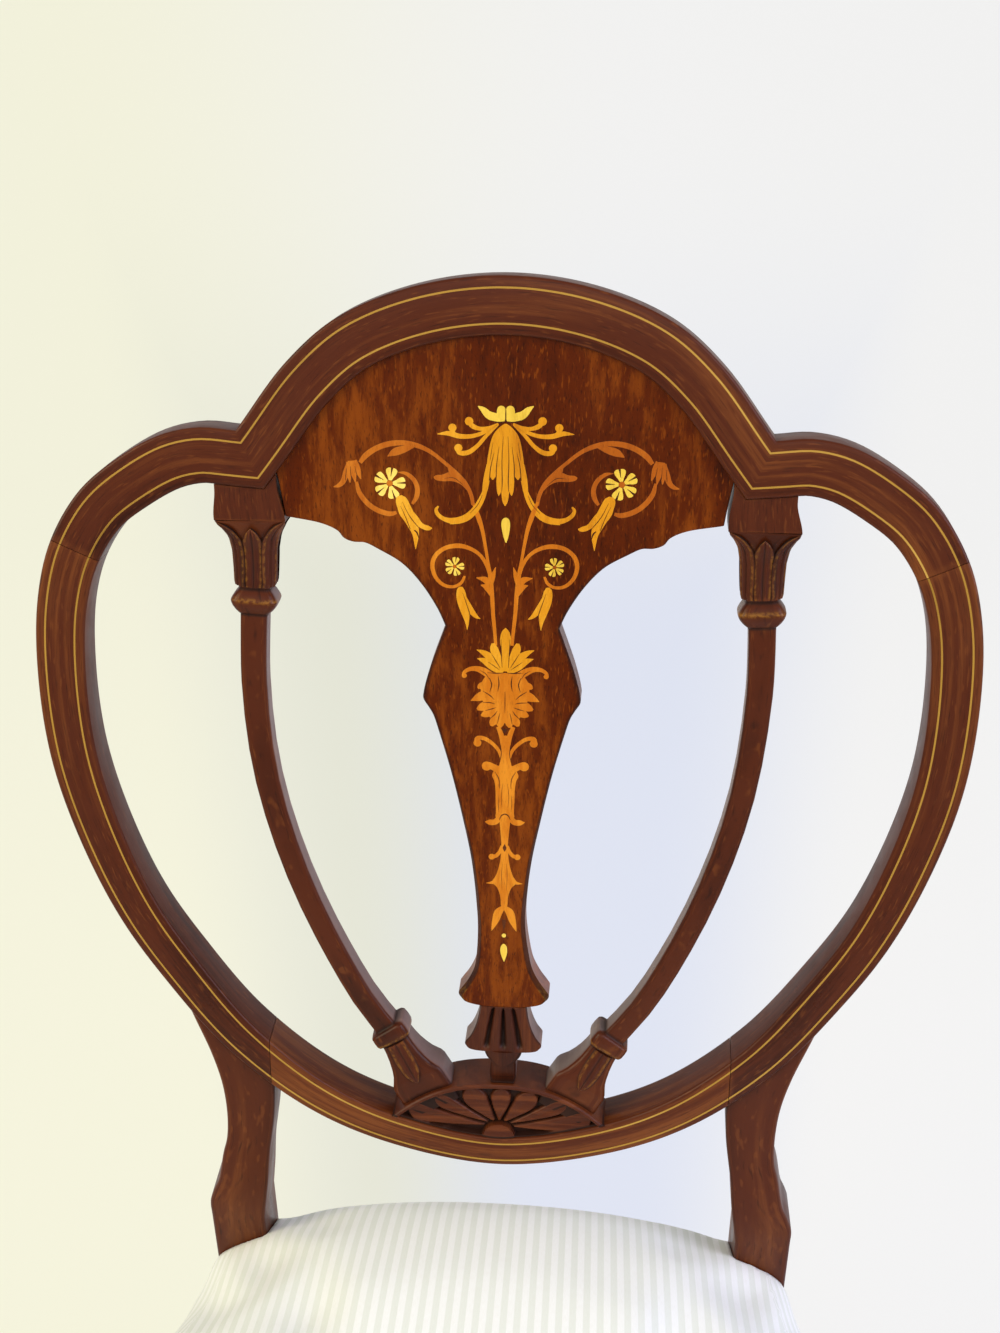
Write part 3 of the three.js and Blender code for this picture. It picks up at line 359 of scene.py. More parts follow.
class Nodes:
    """A short way to place and join the nodes of a material or of a node group."""

    def __init__(self, tree: Tree) -> None:
        """Keeps the tree that new nodes go into."""
        self.tree = tree

    def add(self, kind: str, values: Optional[Dict[object, object]] = None, **settings: object) -> Node:
        """Adds a node.

        Args:
            kind: Blender's name of the node.
            values: Input sockets by name or number, each with a value or with an output to join.
            settings: The node's own settings.

        Returns:
            The node.
        """
        node = self.tree.nodes.new(kind)
        for key, value in settings.items():
            setattr(node, key, value)
        self.feed(node, values or {})
        return node

    def feed(self, node: Node, values: Dict[object, object]) -> None:
        """Gives input sockets, by name or number, a value or joins an output to them."""
        for key, value in values.items():
            if isinstance(value, Socket):
                self.tree.links.new(value, node.inputs[key])
            else:
                node.inputs[key].default_value = value

    def sum(self, kind: str, first: object, second: object = 0.0, third: object = 0.0,
            clamp: bool = False) -> Socket:
        """A Math node's result from up to three values or outputs."""
        node = self.add("ShaderNodeMath", {0: first, 1: second, 2: third}, operation=kind, use_clamp=clamp)
        return node.outputs[0]

    def blend(self, share: object, low: object, high: object) -> Socket:
        """A colour between two colours or outputs, by a share."""
        return self.add("ShaderNodeMix", {0: share, 6: low, 7: high}, data_type="RGBA").outputs[2]

    def ramp(self, value: object, low: float, high: float, start: float = 0.0, end: float = 1.0) -> Socket:
        """A value carried smoothly from one range to another and held at its ends."""
        return self.add("ShaderNodeMapRange", {0: value, 1: low, 2: high, 3: start, 4: end},
                        interpolation_type="SMOOTHSTEP").outputs[0]

    def noise(self, where: object, scale: float, detail: float = 2.0, rough: float = 0.5,
              twist: float = 0.0) -> Socket:
        """The value of a noise at a place."""
        return self.add("ShaderNodeTexNoise", {"Vector": where, "Scale": scale, "Detail": detail,
                                               "Roughness": rough, "Distortion": twist}).outputs[0]

    def stretch(self, where: object, scale: Spot, move: Spot = (0.0, 0.0, 0.0)) -> Socket:
        """A place moved and scaled."""
        return self.add("ShaderNodeMapping", {0: where, 1: move, 3: scale}).outputs[0]

    def split(self, where: object) -> Sequence[Socket]:
        """The three coordinates of a place."""
        return self.add("ShaderNodeSeparateXYZ", {0: where}).outputs

    def surface(self) -> Socket:
        """The piece's own surface coordinates, in metres."""
        return self.add("ShaderNodeUVMap", uv_map=SURFACE).outputs[0]

    def object_place(self) -> Socket:
        """The place in the piece's own space, in metres."""
        return self.add("ShaderNodeTexCoord").outputs["Object"]

    def mark(self, name: str) -> Socket:
        """A number that the mesh carries at its points."""
        return self.add("ShaderNodeAttribute", attribute_name=name).outputs["Fac"]

    def bump(self, height: object, strength: float, distance: float) -> Socket:
        """The normal of a surface with a height pattern on it."""
        node = self.add("ShaderNodeBump", {"Height": height, "Strength": strength, "Distance": distance})
        return node.outputs[0]

    def group(self, tree: Tree, values: Dict[object, object]) -> Sequence[Socket]:
        """The outputs of a node group with its inputs given."""
        return self.add("ShaderNodeGroup", values, node_tree=tree).outputs


def rgb(red: int, green: int, blue: int) -> Colour:
    """A colour written as it looks on a screen, turned into the renderer's linear values."""
    values = [channel / 255 for channel in (red, green, blue)]
    linear = [v / 12.92 if v <= 0.04045 else ((v + 0.055) / 1.055) ** 2.4 for v in values]
    return (linear[0], linear[1], linear[2], 1.0)


PORE = (0.004, 0.002, 0.001, 1.0)
# Near black, for grime and painted shade in hollows.
GRIME_AND_SHADE = (0.006, 0.003, 0.002, 1.0)
# Gold, for painted highlights on ridges and leaf edges.
GILT_HIGHLIGHT = rgb(158, 108, 34)
# Pale pink, for a painted sheen on side faces.
PAINTED_SHEEN = rgb(214, 200, 196)


def new_group(name: str, inputs: Sequence[Tuple[str, str, object]],
              outputs: Sequence[Tuple[str, str]]) -> Tuple[Tree, Node, Node]:
    """Makes a shader node group with named sockets.

    Args:
        name: The group's name.
        inputs: Name, kind and default of each input.
        outputs: Name and kind of each output.

    Returns:
        The group, its input node and its output node.
    """
    group = bpy.data.node_groups.new(name, "ShaderNodeTree")
    for label, kind, default in inputs:
        socket = group.interface.new_socket(label, in_out="INPUT", socket_type="NodeSocket" + kind)
        if kind != "Vector":
            socket.default_value = default
    for label, kind in outputs:
        group.interface.new_socket(label, in_out="OUTPUT", socket_type="NodeSocket" + kind)
    return group, group.nodes.new("NodeGroupInput"), group.nodes.new("NodeGroupOutput")


def wood_group() -> Tree:
    """Wood as cut boards: broad figure, growth lines, fine pores and pale flecks, all along one direction.

    The place is stretched along its second coordinate, so that every noise becomes a streak. Pores are the
    highest parts of a very fine streaked noise, and they darken the colour and sink the height.
    """
    group, given, put = new_group(
        "wood_figure",
        [("Place", "Vector", None), ("Dark", "Color", (0, 0, 0, 1)), ("Middle", "Color", (0, 0, 0, 1)),
         ("Light", "Color", (0, 0, 0, 1)), ("Pores", "Float", 0.5), ("Flecks", "Float", 0.3),
         ("Gloss", "Float", 0.3)],
        [("Color", "Color"), ("Roughness", "Float"), ("Height", "Float")],
    )
    n = Nodes(group)
    place = given.outputs["Place"]
    broad = n.noise(n.stretch(place, (16.0, 16.0, 2.6)), 1.0, 3.0, 0.55, 0.6)
    lines = n.noise(n.stretch(place, (210.0, 210.0, 7.0)), 1.0, 4.0, 0.6, 0.3)
    pores = n.noise(n.stretch(place, (1500.0, 1500.0, 75.0)), 1.0, 2.0, 0.5)
    flecks = n.noise(n.stretch(place, (900.0, 900.0, 120.0), move=(3.1, 1.7, 0.4)), 1.0, 1.0, 0.4)
    pore = n.ramp(pores, 0.56, 0.72)
    fleck = n.ramp(flecks, 0.6, 0.75)
    tone = n.sum("ADD", n.ramp(broad, 0.3, 0.7, 0.0, 0.62), n.ramp(lines, 0.3, 0.7, 0.0, 0.38))
    base = n.blend(n.ramp(tone, 0.0, 0.5), given.outputs["Dark"], given.outputs["Middle"])
    warm = n.blend(n.ramp(tone, 0.5, 1.0), base, given.outputs["Light"])
    flecked = n.blend(n.sum("MULTIPLY", fleck, given.outputs["Flecks"]), warm, given.outputs["Light"])
    pored = n.blend(n.sum("MULTIPLY", pore, given.outputs["Pores"]), flecked,
                    n.blend(0.75, warm, PORE))
    rough = n.sum("ADD", given.outputs["Gloss"], n.ramp(broad, 0.2, 0.8, -0.03, 0.06))
    height = n.sum("SUBTRACT", n.ramp(lines, 0.2, 0.8, 0.0, 0.25), n.sum("MULTIPLY", pore, 0.8))
    n.feed(put, {"Color": pored, "Roughness": rough, "Height": height})
    return group


def wear_and_painted_light_group() -> Tree:
    """Old varnish with painted light: grime and painted shade in hollows, a soft paling on the high edges, a
    painted sheen on marked side faces and painted gold highlights on marked ridges.

    Pointiness is above one half on edges and below it in hollows. Both masks are broken up by a noise.
    """
    group, given, put = new_group(
        "varnish_wear_and_painted_light",
        [("Color", "Color", (0, 0, 0, 1)), ("Grime", "Float", 0.5), ("Rub", "Float", 0.3),
         ("Rubbed", "Color", (0, 0, 0, 1)), ("Roughness", "Float", 0.3)],
        [("Color", "Color"), ("Roughness", "Float")],
    )
    n = Nodes(group)
    place = n.object_place()
    cloud = n.noise(place, 55.0, 3.0, 0.6)
    point = n.add("ShaderNodeNewGeometry").outputs["Pointiness"]
    marks = {key: n.mark(key) for key in MARKS}
    # Grime and painted shade: darker where pointiness shows a hollow and where the mesh marks painted shade.
    deep = n.sum("MULTIPLY", n.ramp(point, 0.492, 0.44), given.outputs["Grime"], clamp=True)
    hollow_shade = n.sum("MAXIMUM", deep, n.sum("MULTIPLY", marks["hollow_shade"], 0.94), clamp=True)
    edge = n.sum("MULTIPLY", n.ramp(point, 0.52, 0.58), n.ramp(cloud, 0.42, 0.62))
    rub = n.sum("MULTIPLY", edge, given.outputs["Rub"], clamp=True)
    rubbed = n.blend(rub, given.outputs["Color"], given.outputs["Rubbed"])
    # Painted sheen: marked side faces are paled towards a pinkish white.
    with_sheen = n.blend(n.sum("MULTIPLY", marks["pale"], 0.16), rubbed, PAINTED_SHEEN)
    fine = n.noise(place, 420.0, 2.0, 0.6)
    # Painted gold highlights on marked ridges and leaf edges.
    gilt_highlight = n.sum("MULTIPLY", marks["gilt_highlight"], n.ramp(fine, 0.4, 0.6, 0.15, 1.0), clamp=True)
    highlighted = n.blend(gilt_highlight, with_sheen, GILT_HIGHLIGHT)
    grimed = n.blend(hollow_shade, highlighted, n.blend(0.85, given.outputs["Color"], GRIME_AND_SHADE))
    cloudy = n.sum("ADD", given.outputs["Roughness"], n.ramp(cloud, 0.35, 0.7, -0.02, 0.07))
    n.feed(put, {"Color": grimed, "Roughness": n.sum("ADD", cloudy, n.sum("MULTIPLY", hollow_shade, 0.25))})
    return group


def weave_group() -> Tree:
    """Plain weave: crossed threads as two waves in the surface coordinates, one over the other by turns.

    Height is the larger of the two threads' round backs, and the sign of their product says which is on top.
    """
    group, given, put = new_group(
        "plain_weave",
        [("Place", "Vector", None), ("Threads", "Float", 500.0), ("Gap", "Float", 0.5)],
        [("Height", "Float"), ("Gap", "Float")],
    )
    n = Nodes(group)
    split = n.split(given.outputs["Place"])
    wave = [n.sum("SINE", n.sum("MULTIPLY", n.sum("MULTIPLY", split[i], given.outputs["Threads"]), math.pi))
            for i in (0, 1)]
    over = n.ramp(n.sum("MULTIPLY", wave[0], wave[1]), -0.2, 0.2)
    backs = [n.sum("ABSOLUTE", value) for value in wave]
    height = n.add("ShaderNodeMix", {0: over, 2: backs[0], 3: backs[1]}).outputs[0]
    between = n.ramp(n.sum("MAXIMUM", backs[0], backs[1]), 0.0, 0.45, 1.0, 0.0)
    gap = n.sum("MULTIPLY", between, given.outputs["Gap"])
    n.feed(put, {"Height": height, "Gap": gap})
    return group


class Way(Enum):
    """Which coordinates a wood's grain follows."""

    SURFACE = "surface"
    OBJECT = "object"


@dataclass(frozen=True)
class WoodFinish:
    """Polished wood with its figure, pores, old varnish, grime and painted shade in hollows, a painted sheen
    and painted gold highlights.
    """

    name: str
    dark: Colour
    middle: Colour
    light: Colour
    way: Way = Way.SURFACE
    pores: float = 0.5
    flecks: float = 0.3
    gloss: float = 0.3
    coat: float = 0.04
    shine: float = 0.15
    # How far pointiness darkens hollows, with grime and painted shade.
    grime: float = 0.6
    rub: float = 0.3
    bump: float = 0.05

    def make(self, groups: Groups) -> Material:
        """Builds the material.

        Args:
            groups: The shared node groups by name.

        Returns:
            The material.
        """
        material, n, shader = start_material(self.name)
        if self.way is Way.SURFACE:
            across, length, _ = n.split(n.surface())
            place = n.add("ShaderNodeCombineXYZ", {0: across, 1: n.mark("tone"), 2: length}).outputs[0]
        else:
            place = n.object_place()
        wood = n.group(groups["wood"], {
            "Place": place, "Dark": self.dark, "Middle": self.middle, "Light": self.light,
            "Pores": self.pores, "Flecks": self.flecks, "Gloss": self.gloss})
        wear_and_painted_light = n.group(groups["wear_and_painted_light"], {
            "Color": wood["Color"], "Roughness": wood["Roughness"], "Grime": self.grime, "Rub": self.rub,
            "Rubbed": self.light})
        n.feed(shader, {
            "Base Color": wear_and_painted_light["Color"], "Roughness": wear_and_painted_light["Roughness"],
            "Normal": n.bump(wood["Height"], self.bump, 0.0004), "Coat Weight": self.coat,
            "Coat Roughness": 0.16, "Specular IOR Level": self.shine})
        return material


def start_material(name: str) -> Tuple[Material, Nodes, Node]:
    """A new material with an empty Principled shader.

    Args:
        name: The material's name.

    Returns:
        The material, its nodes and the shader.
    """
    material = bpy.data.materials.new(name)
    material.use_nodes = True
    shader = next(node for node in material.node_tree.nodes if node.type == "BSDF_PRINCIPLED")
    return material, Nodes(material.node_tree), shader


@dataclass(frozen=True)
class SatinFinish:
    """Cream satin with a woven tone-on-tone stripe."""

    name: str = "satin_stripe"
    pale: Colour = rgb(245, 250, 246)
    deep: Colour = rgb(230, 237, 228)
    shade: Colour = rgb(205, 204, 190)
    pitch: float = 0.0074
    weave: float = 1500.0

    def make(self, groups: Groups) -> Material:
        """Builds the material. The stripe is a softened square wave across the surface coordinates."""
        material, n, shader = start_material(self.name)
        surface = n.surface()
        wave = n.sum("SINE", n.sum("MULTIPLY", n.split(surface)[0], 2 * math.pi / self.pitch))
        stripe = n.ramp(wave, -0.25, 0.25)
        thread = n.noise(n.stretch(surface, (2600.0, 260.0, 1.0)), 1.0, 1.0)
        weave = n.group(groups["weave"], {"Place": surface, "Threads": self.weave})
        base = n.blend(stripe, self.pale, self.deep)
        height = n.sum("ADD", n.sum("MULTIPLY", weave["Height"], 0.3), n.sum("MULTIPLY", stripe, -0.4))
        n.feed(shader, {
            "Base Color": n.blend(n.ramp(thread, 0.35, 0.75, 0.0, 0.12), base, self.shade),
            "Roughness": n.ramp(stripe, 0.0, 1.0, 0.42, 0.68), "Normal": n.bump(height, 0.35, 0.00012),
            "Sheen Weight": 0.25, "Sheen Roughness": 0.35, "Specular IOR Level": 0.35})
        return material


@dataclass(frozen=True)
class ClothFinish:
    """Coarse plain-woven cloth, for webbing, hessian and the bottom cloth."""

    name: str
    thread: Colour
    shade: Colour
    threads: float
    gap: float = 0.6
    stripe: Optional[Colour] = None
    stripe_off: float = 0.018
    stripe_half: float = 0.0014
    soft: float = 0.0006

    def make(self, groups: Groups) -> Material:
        """Builds the material: thick and thin threads and, for webbing, coloured lines near the edges."""
        material, n, shader = start_material(self.name)
        surface = n.surface()
        weave = n.group(groups["weave"], {"Place": surface, "Threads": self.threads, "Gap": self.gap})
        slub = n.noise(n.stretch(surface, (self.threads * 0.9, self.threads * 0.08, 1.0)), 1.0, 2.0)
        yarn = n.blend(n.ramp(slub, 0.3, 0.7), self.shade, self.thread)
        colour = n.blend(weave["Gap"], yarn, n.blend(0.8, self.shade, (0.01, 0.008, 0.005, 1.0)))
        if self.stripe is not None:
            off = n.sum("ABSOLUTE", n.split(surface)[0])
            near = n.sum("ABSOLUTE", n.sum("SUBTRACT", off, self.stripe_off))
            edge = n.ramp(near, self.stripe_half, self.stripe_half + self.soft, 0.8, 0.0)
            colour = n.blend(edge, colour, self.stripe)
        n.feed(shader, {
            "Base Color": colour, "Roughness": n.ramp(slub, 0.2, 0.8, 0.8, 0.95),
            "Normal": n.bump(weave["Height"], 0.8, 0.0005), "Specular IOR Level": 0.2})
        return material


@dataclass
class Finishes:
    """Every finish of the chair, made once."""

    made: Dict[str, Material] = field(default_factory=dict)

    def build(self) -> "Finishes":
        """Makes the shared groups and the materials."""
        groups = {"wood": wood_group(), "wear_and_painted_light": wear_and_painted_light_group(), "weave": weave_group()}
        for finish in self.listed():
            self.made[finish.name] = finish.make(groups)
        log.info("finishes: %d", len(self.made))
        return self

    @staticmethod
    def listed() -> List[object]:
        """The finishes with their colours, from dark over middle to light."""
        veneer = partial(WoodFinish, way=Way.OBJECT, flecks=0.2, grime=0.0, rub=0.0, bump=0.03)
        return [
            WoodFinish("mahogany_rail", rgb(46, 16, 4), rgb(76, 32, 11), rgb(114, 62, 25), pores=0.6,
                       flecks=0.4),
            WoodFinish("mahogany_carved", rgb(42, 14, 6), rgb(70, 29, 11), rgb(106, 54, 24), pores=0.4,
                       flecks=0.2, grime=0.95, rub=0.55, gloss=0.34),
            WoodFinish("mahogany_panel", rgb(48, 13, 0), rgb(80, 28, 0), rgb(122, 58, 6), way=Way.OBJECT,
                       pores=0.7, flecks=0.7, rub=0.15, shine=0.08, coat=0.03),
            WoodFinish("boxwood_line", rgb(126, 92, 30), rgb(164, 126, 50), rgb(190, 152, 72), pores=0.1,
                       flecks=0.1, grime=0.2, rub=0.0, bump=0.02),
            veneer("veneer_pale", rgb(196, 156, 44), rgb(222, 188, 66), rgb(240, 214, 104), pores=0.15),
            veneer("veneer_gold", rgb(176, 106, 8), rgb(206, 138, 18), rgb(226, 166, 44), pores=0.2),
            veneer("veneer_orange", rgb(158, 82, 6), rgb(188, 106, 12), rgb(212, 134, 30), pores=0.25),
            veneer("veneer_brown", rgb(132, 62, 6), rgb(164, 84, 10), rgb(190, 110, 24), pores=0.3),
            veneer("veneer_dark", rgb(44, 20, 8), rgb(66, 30, 10), rgb(92, 46, 16), pores=0.3, flecks=0.1,
                   bump=0.02),
            WoodFinish("beech_frame", rgb(150, 112, 74), rgb(184, 146, 102), rgb(206, 172, 128),
                       way=Way.OBJECT, pores=0.2, flecks=0.35, gloss=0.6, coat=0.0, grime=0.3, rub=0.0),
            SatinFinish(),
            ClothFinish("jute_webbing", rgb(176, 150, 108), rgb(134, 106, 70), 620.0, 0.5, rgb(120, 40, 28)),
            ClothFinish("hessian_cloth", rgb(166, 134, 88), rgb(126, 96, 58), 900.0, 0.8),
            ClothFinish("black_cloth", rgb(44, 42, 42), rgb(26, 25, 25), 1300.0, 0.5),
        ]


# Shield frame


@dataclass
class EdgeLine:
    """A dense curve of the shield's outer edge with the rail's face width as third coordinate."""

    path: Array
    length: float = 0.0

    def __post_init__(self) -> None:
        """Measures the curve."""
        self.length = length_of(self.path)

    def at(self, shares: Array) -> Tuple[Array, Array, Array]:
        """Outer points, inward directions and face widths at shares of the length."""
        here = along(self.path, shares)
        small = 1e-4
        ahead, behind = (along(self.path, np.clip(shares + step, 0, 1)) for step in (small, -small))
        run = ahead - behind
        inward = np.stack([run[:, 1], -run[:, 0]], axis=1)
        inward /= np.linalg.norm(inward, axis=1, keepdims=True)
        return here[:, :2], inward, here[:, 2]


@dataclass
class ShieldFrame:
    """Crest rail, stiles and bottom rail of the shield, with their inlaid lines. Sizes in millimetres."""

    half: float = 241.0
    height: float = 501.0
    face: float = 28.0
    depth_top: float = 24.0
    depth_low: float = 29.0
    front_round: float = 1.6
    back_round: float = 3.5
    swell: float = 0.5
    mitre: float = 40.0
    crest_arm: float = 119.0
    shoe_half: float = 130.0
    gap: float = 0.3
    string_face: float = 0.95
    string_inset: float = 0.2
    arch_shares: Tuple[Row, ...] = ((0, 1, 1), (0.178, 0.989, 1), (0.334, 0.959, 1), (0.44, 0.916, 1),
                                    (0.548, 0.849, 1))
    shield_shares: Tuple[Row, ...] = (
        (0.548, 0.849, 1), (0.624, 0.852, 1), (0.705, 0.844, 1), (0.797, 0.82, 0.99), (0.88, 0.787, 0.96),
        (0.948, 0.736, 0.93), (0.985, 0.677, 0.9), (1, 0.599, 0.89), (0.989, 0.501, 0.87),
        (0.944, 0.408, 0.84), (0.87, 0.314, 0.81), (0.78, 0.238, 0.8), (0.634, 0.142, 0.77),
        (0.44, 0.063, 0.72), (0.241, 0.02, 0.68), (0, 0, 0.65))

    def __post_init__(self) -> None:
        """Works out the two edge curves, the mitre's inner corner and where the crest rail ends."""
        size = np.array([self.half, self.height, self.face])
        flip = np.array([-1.0, 1.0, 1.0])
        arch = np.array(self.arch_shares) * size
        shield = np.array(self.shield_shares) * size
        self.arch = EdgeLine(spline(np.vstack([arch[:0:-1] * flip, arch]), 40))
        self.shield = EdgeLine(spline(np.vstack([shield, shield[-2::-1] * flip]), 40))
        end, end_in, _ = self.arch.at(np.array([1.0]))
        _, start_in, _ = self.shield.at(np.array([0.0]))
        self.cusp = (end + (end_in + start_in) * self.face / (1 + float(end_in[0] @ start_in[0])))[0]
        self.joint = self.crest_arm / self.shield.length
        _, inner, _ = self.crest_run()
        self.inner_top = inner[np.argsort(inner[:, 0])]

    def stations(self, edge: EdgeLine, shares: Array) -> Stations:
        """Matching outer and inner points across the rail.

        An inner point lies one face width inward. Near a mitre it runs on to the mitre's inner corner, so
        that the rail's inner edge has a sharp corner there.

        Args:
            edge: The arch or the shield line.
            shares: Shares of the line's length.

        Returns:
            Outer points, inner points and face widths.
        """
        outer, _, face = edge.at(shares)
        start = shares < 0.5
        end_out, end_in, end_face = edge.at(np.where(start, 0.0, 1.0))
        end_inner = end_out + end_in * end_face[:, None]
        corner = np.stack([np.sign(end_out[:, 0]) * self.cusp[0], np.full(len(shares), self.cusp[1])], axis=1)
        spare = np.linalg.norm(end_inner - corner, axis=1)
        far = np.minimum(shares, 1 - shares) * edge.length
        run = np.where(far < self.mitre, far / self.mitre * (self.mitre + spare) - spare, far)
        place = np.maximum(run, 0) / edge.length
        side_out, side_in, side_face = edge.at(np.where(start, place, 1 - place))
        inner = side_out + side_in * side_face[:, None]
        beyond = np.clip(-run / np.maximum(spare, 1e-6), 0, 1)[:, None]
        return outer, mix(inner, corner, beyond), face

    def crest_run(self) -> Stations:
        """Stations of the crest rail from its left joint over the arch to its right one."""
        arm = self.joint * np.linspace(0, 1, 28)
        parts = [self.stations(self.shield, 1 - arm[:0:-1]), self.stations(self.arch, np.linspace(0, 1, 97)),
                 self.stations(self.shield, arm[1:])]
        return tuple(np.concatenate([part[i] for part in parts]) for i in range(3))

    def lower_run(self, low: float, high: float, count: int = 90) -> Stations:
        """Stations of the shield line between two shares of its length."""
        return self.stations(self.shield, np.linspace(low, high, count))

    def share_at(self, across: float) -> float:
        """The share of the shield line, on its right side, where its outer edge lies at a place across."""
        shares = np.linspace(0.3, 0.5, 400)
        outer, _, _ = self.shield.at(shares)
        return float(np.interp(-across, -outer[:, 0], shares))

    def rail_depth(self, height: Array) -> Array:
        """How thick the frame is at a height on the shield."""
        return mix(self.depth_low, self.depth_top, np.asarray(height) / self.height)

    def profile(self) -> Array:
        """The rail's section as rows of edge (0 outer, 1 inner), inset, side (0 front, 1 back) and sink.

        Edges are quarter circles, small in front and larger behind. Between them the face swells a little.
        """
        turn = np.linspace(0, math.pi / 2, 5)
        low, high = 1 - np.cos(turn), 1 - np.sin(turn)
        small, large = self.front_round, self.back_round
        near, middle = (share * self.face * 0.8 for share in (0.28, 0.5))
        outer_front = [(0, small * a, 0, small * b) for a, b in zip(low, high)]
        front = [(0, near, 0, -self.swell * 0.55), (0, middle, 0, -self.swell),
                 (1, near, 0, -self.swell * 0.55)]
        inner_front = [(1, small * a, 0, small * b) for a, b in zip(low, high)][::-1]
        inner_back = [(1, large * a, 1, large * b) for a, b in zip(low, high)]
        outer_back = [(0, large * a, 1, large * b) for a, b in zip(low, high)][::-1]
        back = [(1, near, 1, 0), (0, middle, 1, 0), (0, near, 1, 0)]
        return np.array([*outer_front, *front, *inner_front, *inner_back, *back, *outer_back], float)

    def rail(self, run: Stations) -> Tuple[Array, Array]:
        """The rail's surface along stations.

        Args:
            run: Outer points, inner points and face widths.

        Returns:
            Points, and surface coordinates around and along the rail, both as stations by columns.
        """
        outer, inner, face = run
        thick = self.rail_depth(outer[:, 1])
        edge, inset, side, sink = self.profile().T
        share = np.where(edge > 0.5, 1 - inset / face[:, None], inset / face[:, None])
        deep = np.where(side > 0.5, thick[:, None] - sink, sink)
        flat = mix(outer[:, None, :], inner[:, None, :], share[..., None])
        points = np.stack([flat[..., 0], deep, flat[..., 1]], axis=-1)
        return points, rail_places(run, share * face[:, None] + deep)

    def string(self, run: Stations, inner_side: bool) -> Tuple[Array, Array]:
        """A boxwood line let into the rail's face, a hair proud of it.

        Args:
            run: Outer points, inner points and face widths.
            inner_side: Whether it is the line near the inner edge.

        Returns:
            Points and surface coordinates, as for the rail.
        """
        outer, inner, face = run
        inset = face * self.string_inset
        middle = face - inset if inner_side else inset
        side, sink = np.array([(-0.5, 0.5), (-0.5, -0.28), (0.5, -0.28), (0.5, 0.5)]).T
        share = (middle[:, None] + side * self.string_face) / face[:, None]
        flat = mix(outer[:, None, :], inner[:, None, :], share[..., None])
        points = np.stack([flat[..., 0], np.broadcast_to(sink, share.shape), flat[..., 1]], axis=-1)
        return points, rail_places(run, share * face[:, None])

    def build(self, finishes: Finishes) -> None:
        """Makes the crest rail, the bottom rail and their lines. The stiles belong to the rear legs.

        Args:
            finishes: The chair's finishes.
        """
        crest = self.crest_run()
        low = self.share_at(self.shoe_half + self.face)
        shoe = self.lower_run(low, 1 - low)
        limits = (-self.shoe_half + self.gap / 2, self.shoe_half - self.gap / 2)
        wood, line = finishes.made["mahogany_rail"], finishes.made["boxwood_line"]
        rail = Shell().grid(*self.rail(crest))
        settle_in(rail.mesh("crest"), wood, "mahogany", "crest_rail")
        rail = Shell().grid(*trim(*self.rail(shoe), *limits), tint=0.3)
        settle_in(rail.mesh("shoe"), wood, "mahogany", "shield_shoe")
        for inner_side, side in ((False, "outer"), (True, "inner")):
            strip = Shell().grid(*self.string(crest, inner_side))
            settle_in(strip.mesh(f"crest_line_{side}"), line, "boxwood", f"crest_string_{side}")
            strip = Shell().grid(*trim(*self.string(shoe, inner_side), *limits))
            settle_in(strip.mesh(f"shoe_line_{side}"), line, "boxwood", f"shoe_string_{side}")


def rail_places(run: Stations, around: Array) -> Array:
    """Surface coordinates of a rail: how far round it and how far along its middle."""
    middle = (run[0] + run[1]) / 2
    length = np.concatenate([[0], np.cumsum(np.linalg.norm(np.diff(middle, axis=0), axis=1))])
    return np.stack(np.broadcast_arrays(around, length[:, None]), axis=-1)


def trim(points: Array, places: Array, low: float, high: float) -> Tuple[Array, Array]:
    """Ends every line along a swept surface exactly at two planes across.

    Each line is read again at as many places between its crossings with the planes.

    Args:
        points: Stations by columns by three, going from right to left.
        places: Stations by columns by two.
        low: Where the left plane stands.
        high: Where the right plane stands.

    Returns:
        The trimmed points and places.
    """
    both = np.concatenate([points, places], axis=-1)
    steps = np.arange(len(both), dtype=float)
    out = np.empty_like(both)
    for i in range(both.shape[1]):
        line = both[:, i]
        start, end = np.interp((-high, -low), -line[:, 0], steps)
        spots = np.linspace(start, end, len(both))
        out[:, i] = np.stack([np.interp(spots, steps, line[:, j]) for j in range(line.shape[1])], axis=1)
    return out[..., :3], out[..., 3:]


# Rear legs


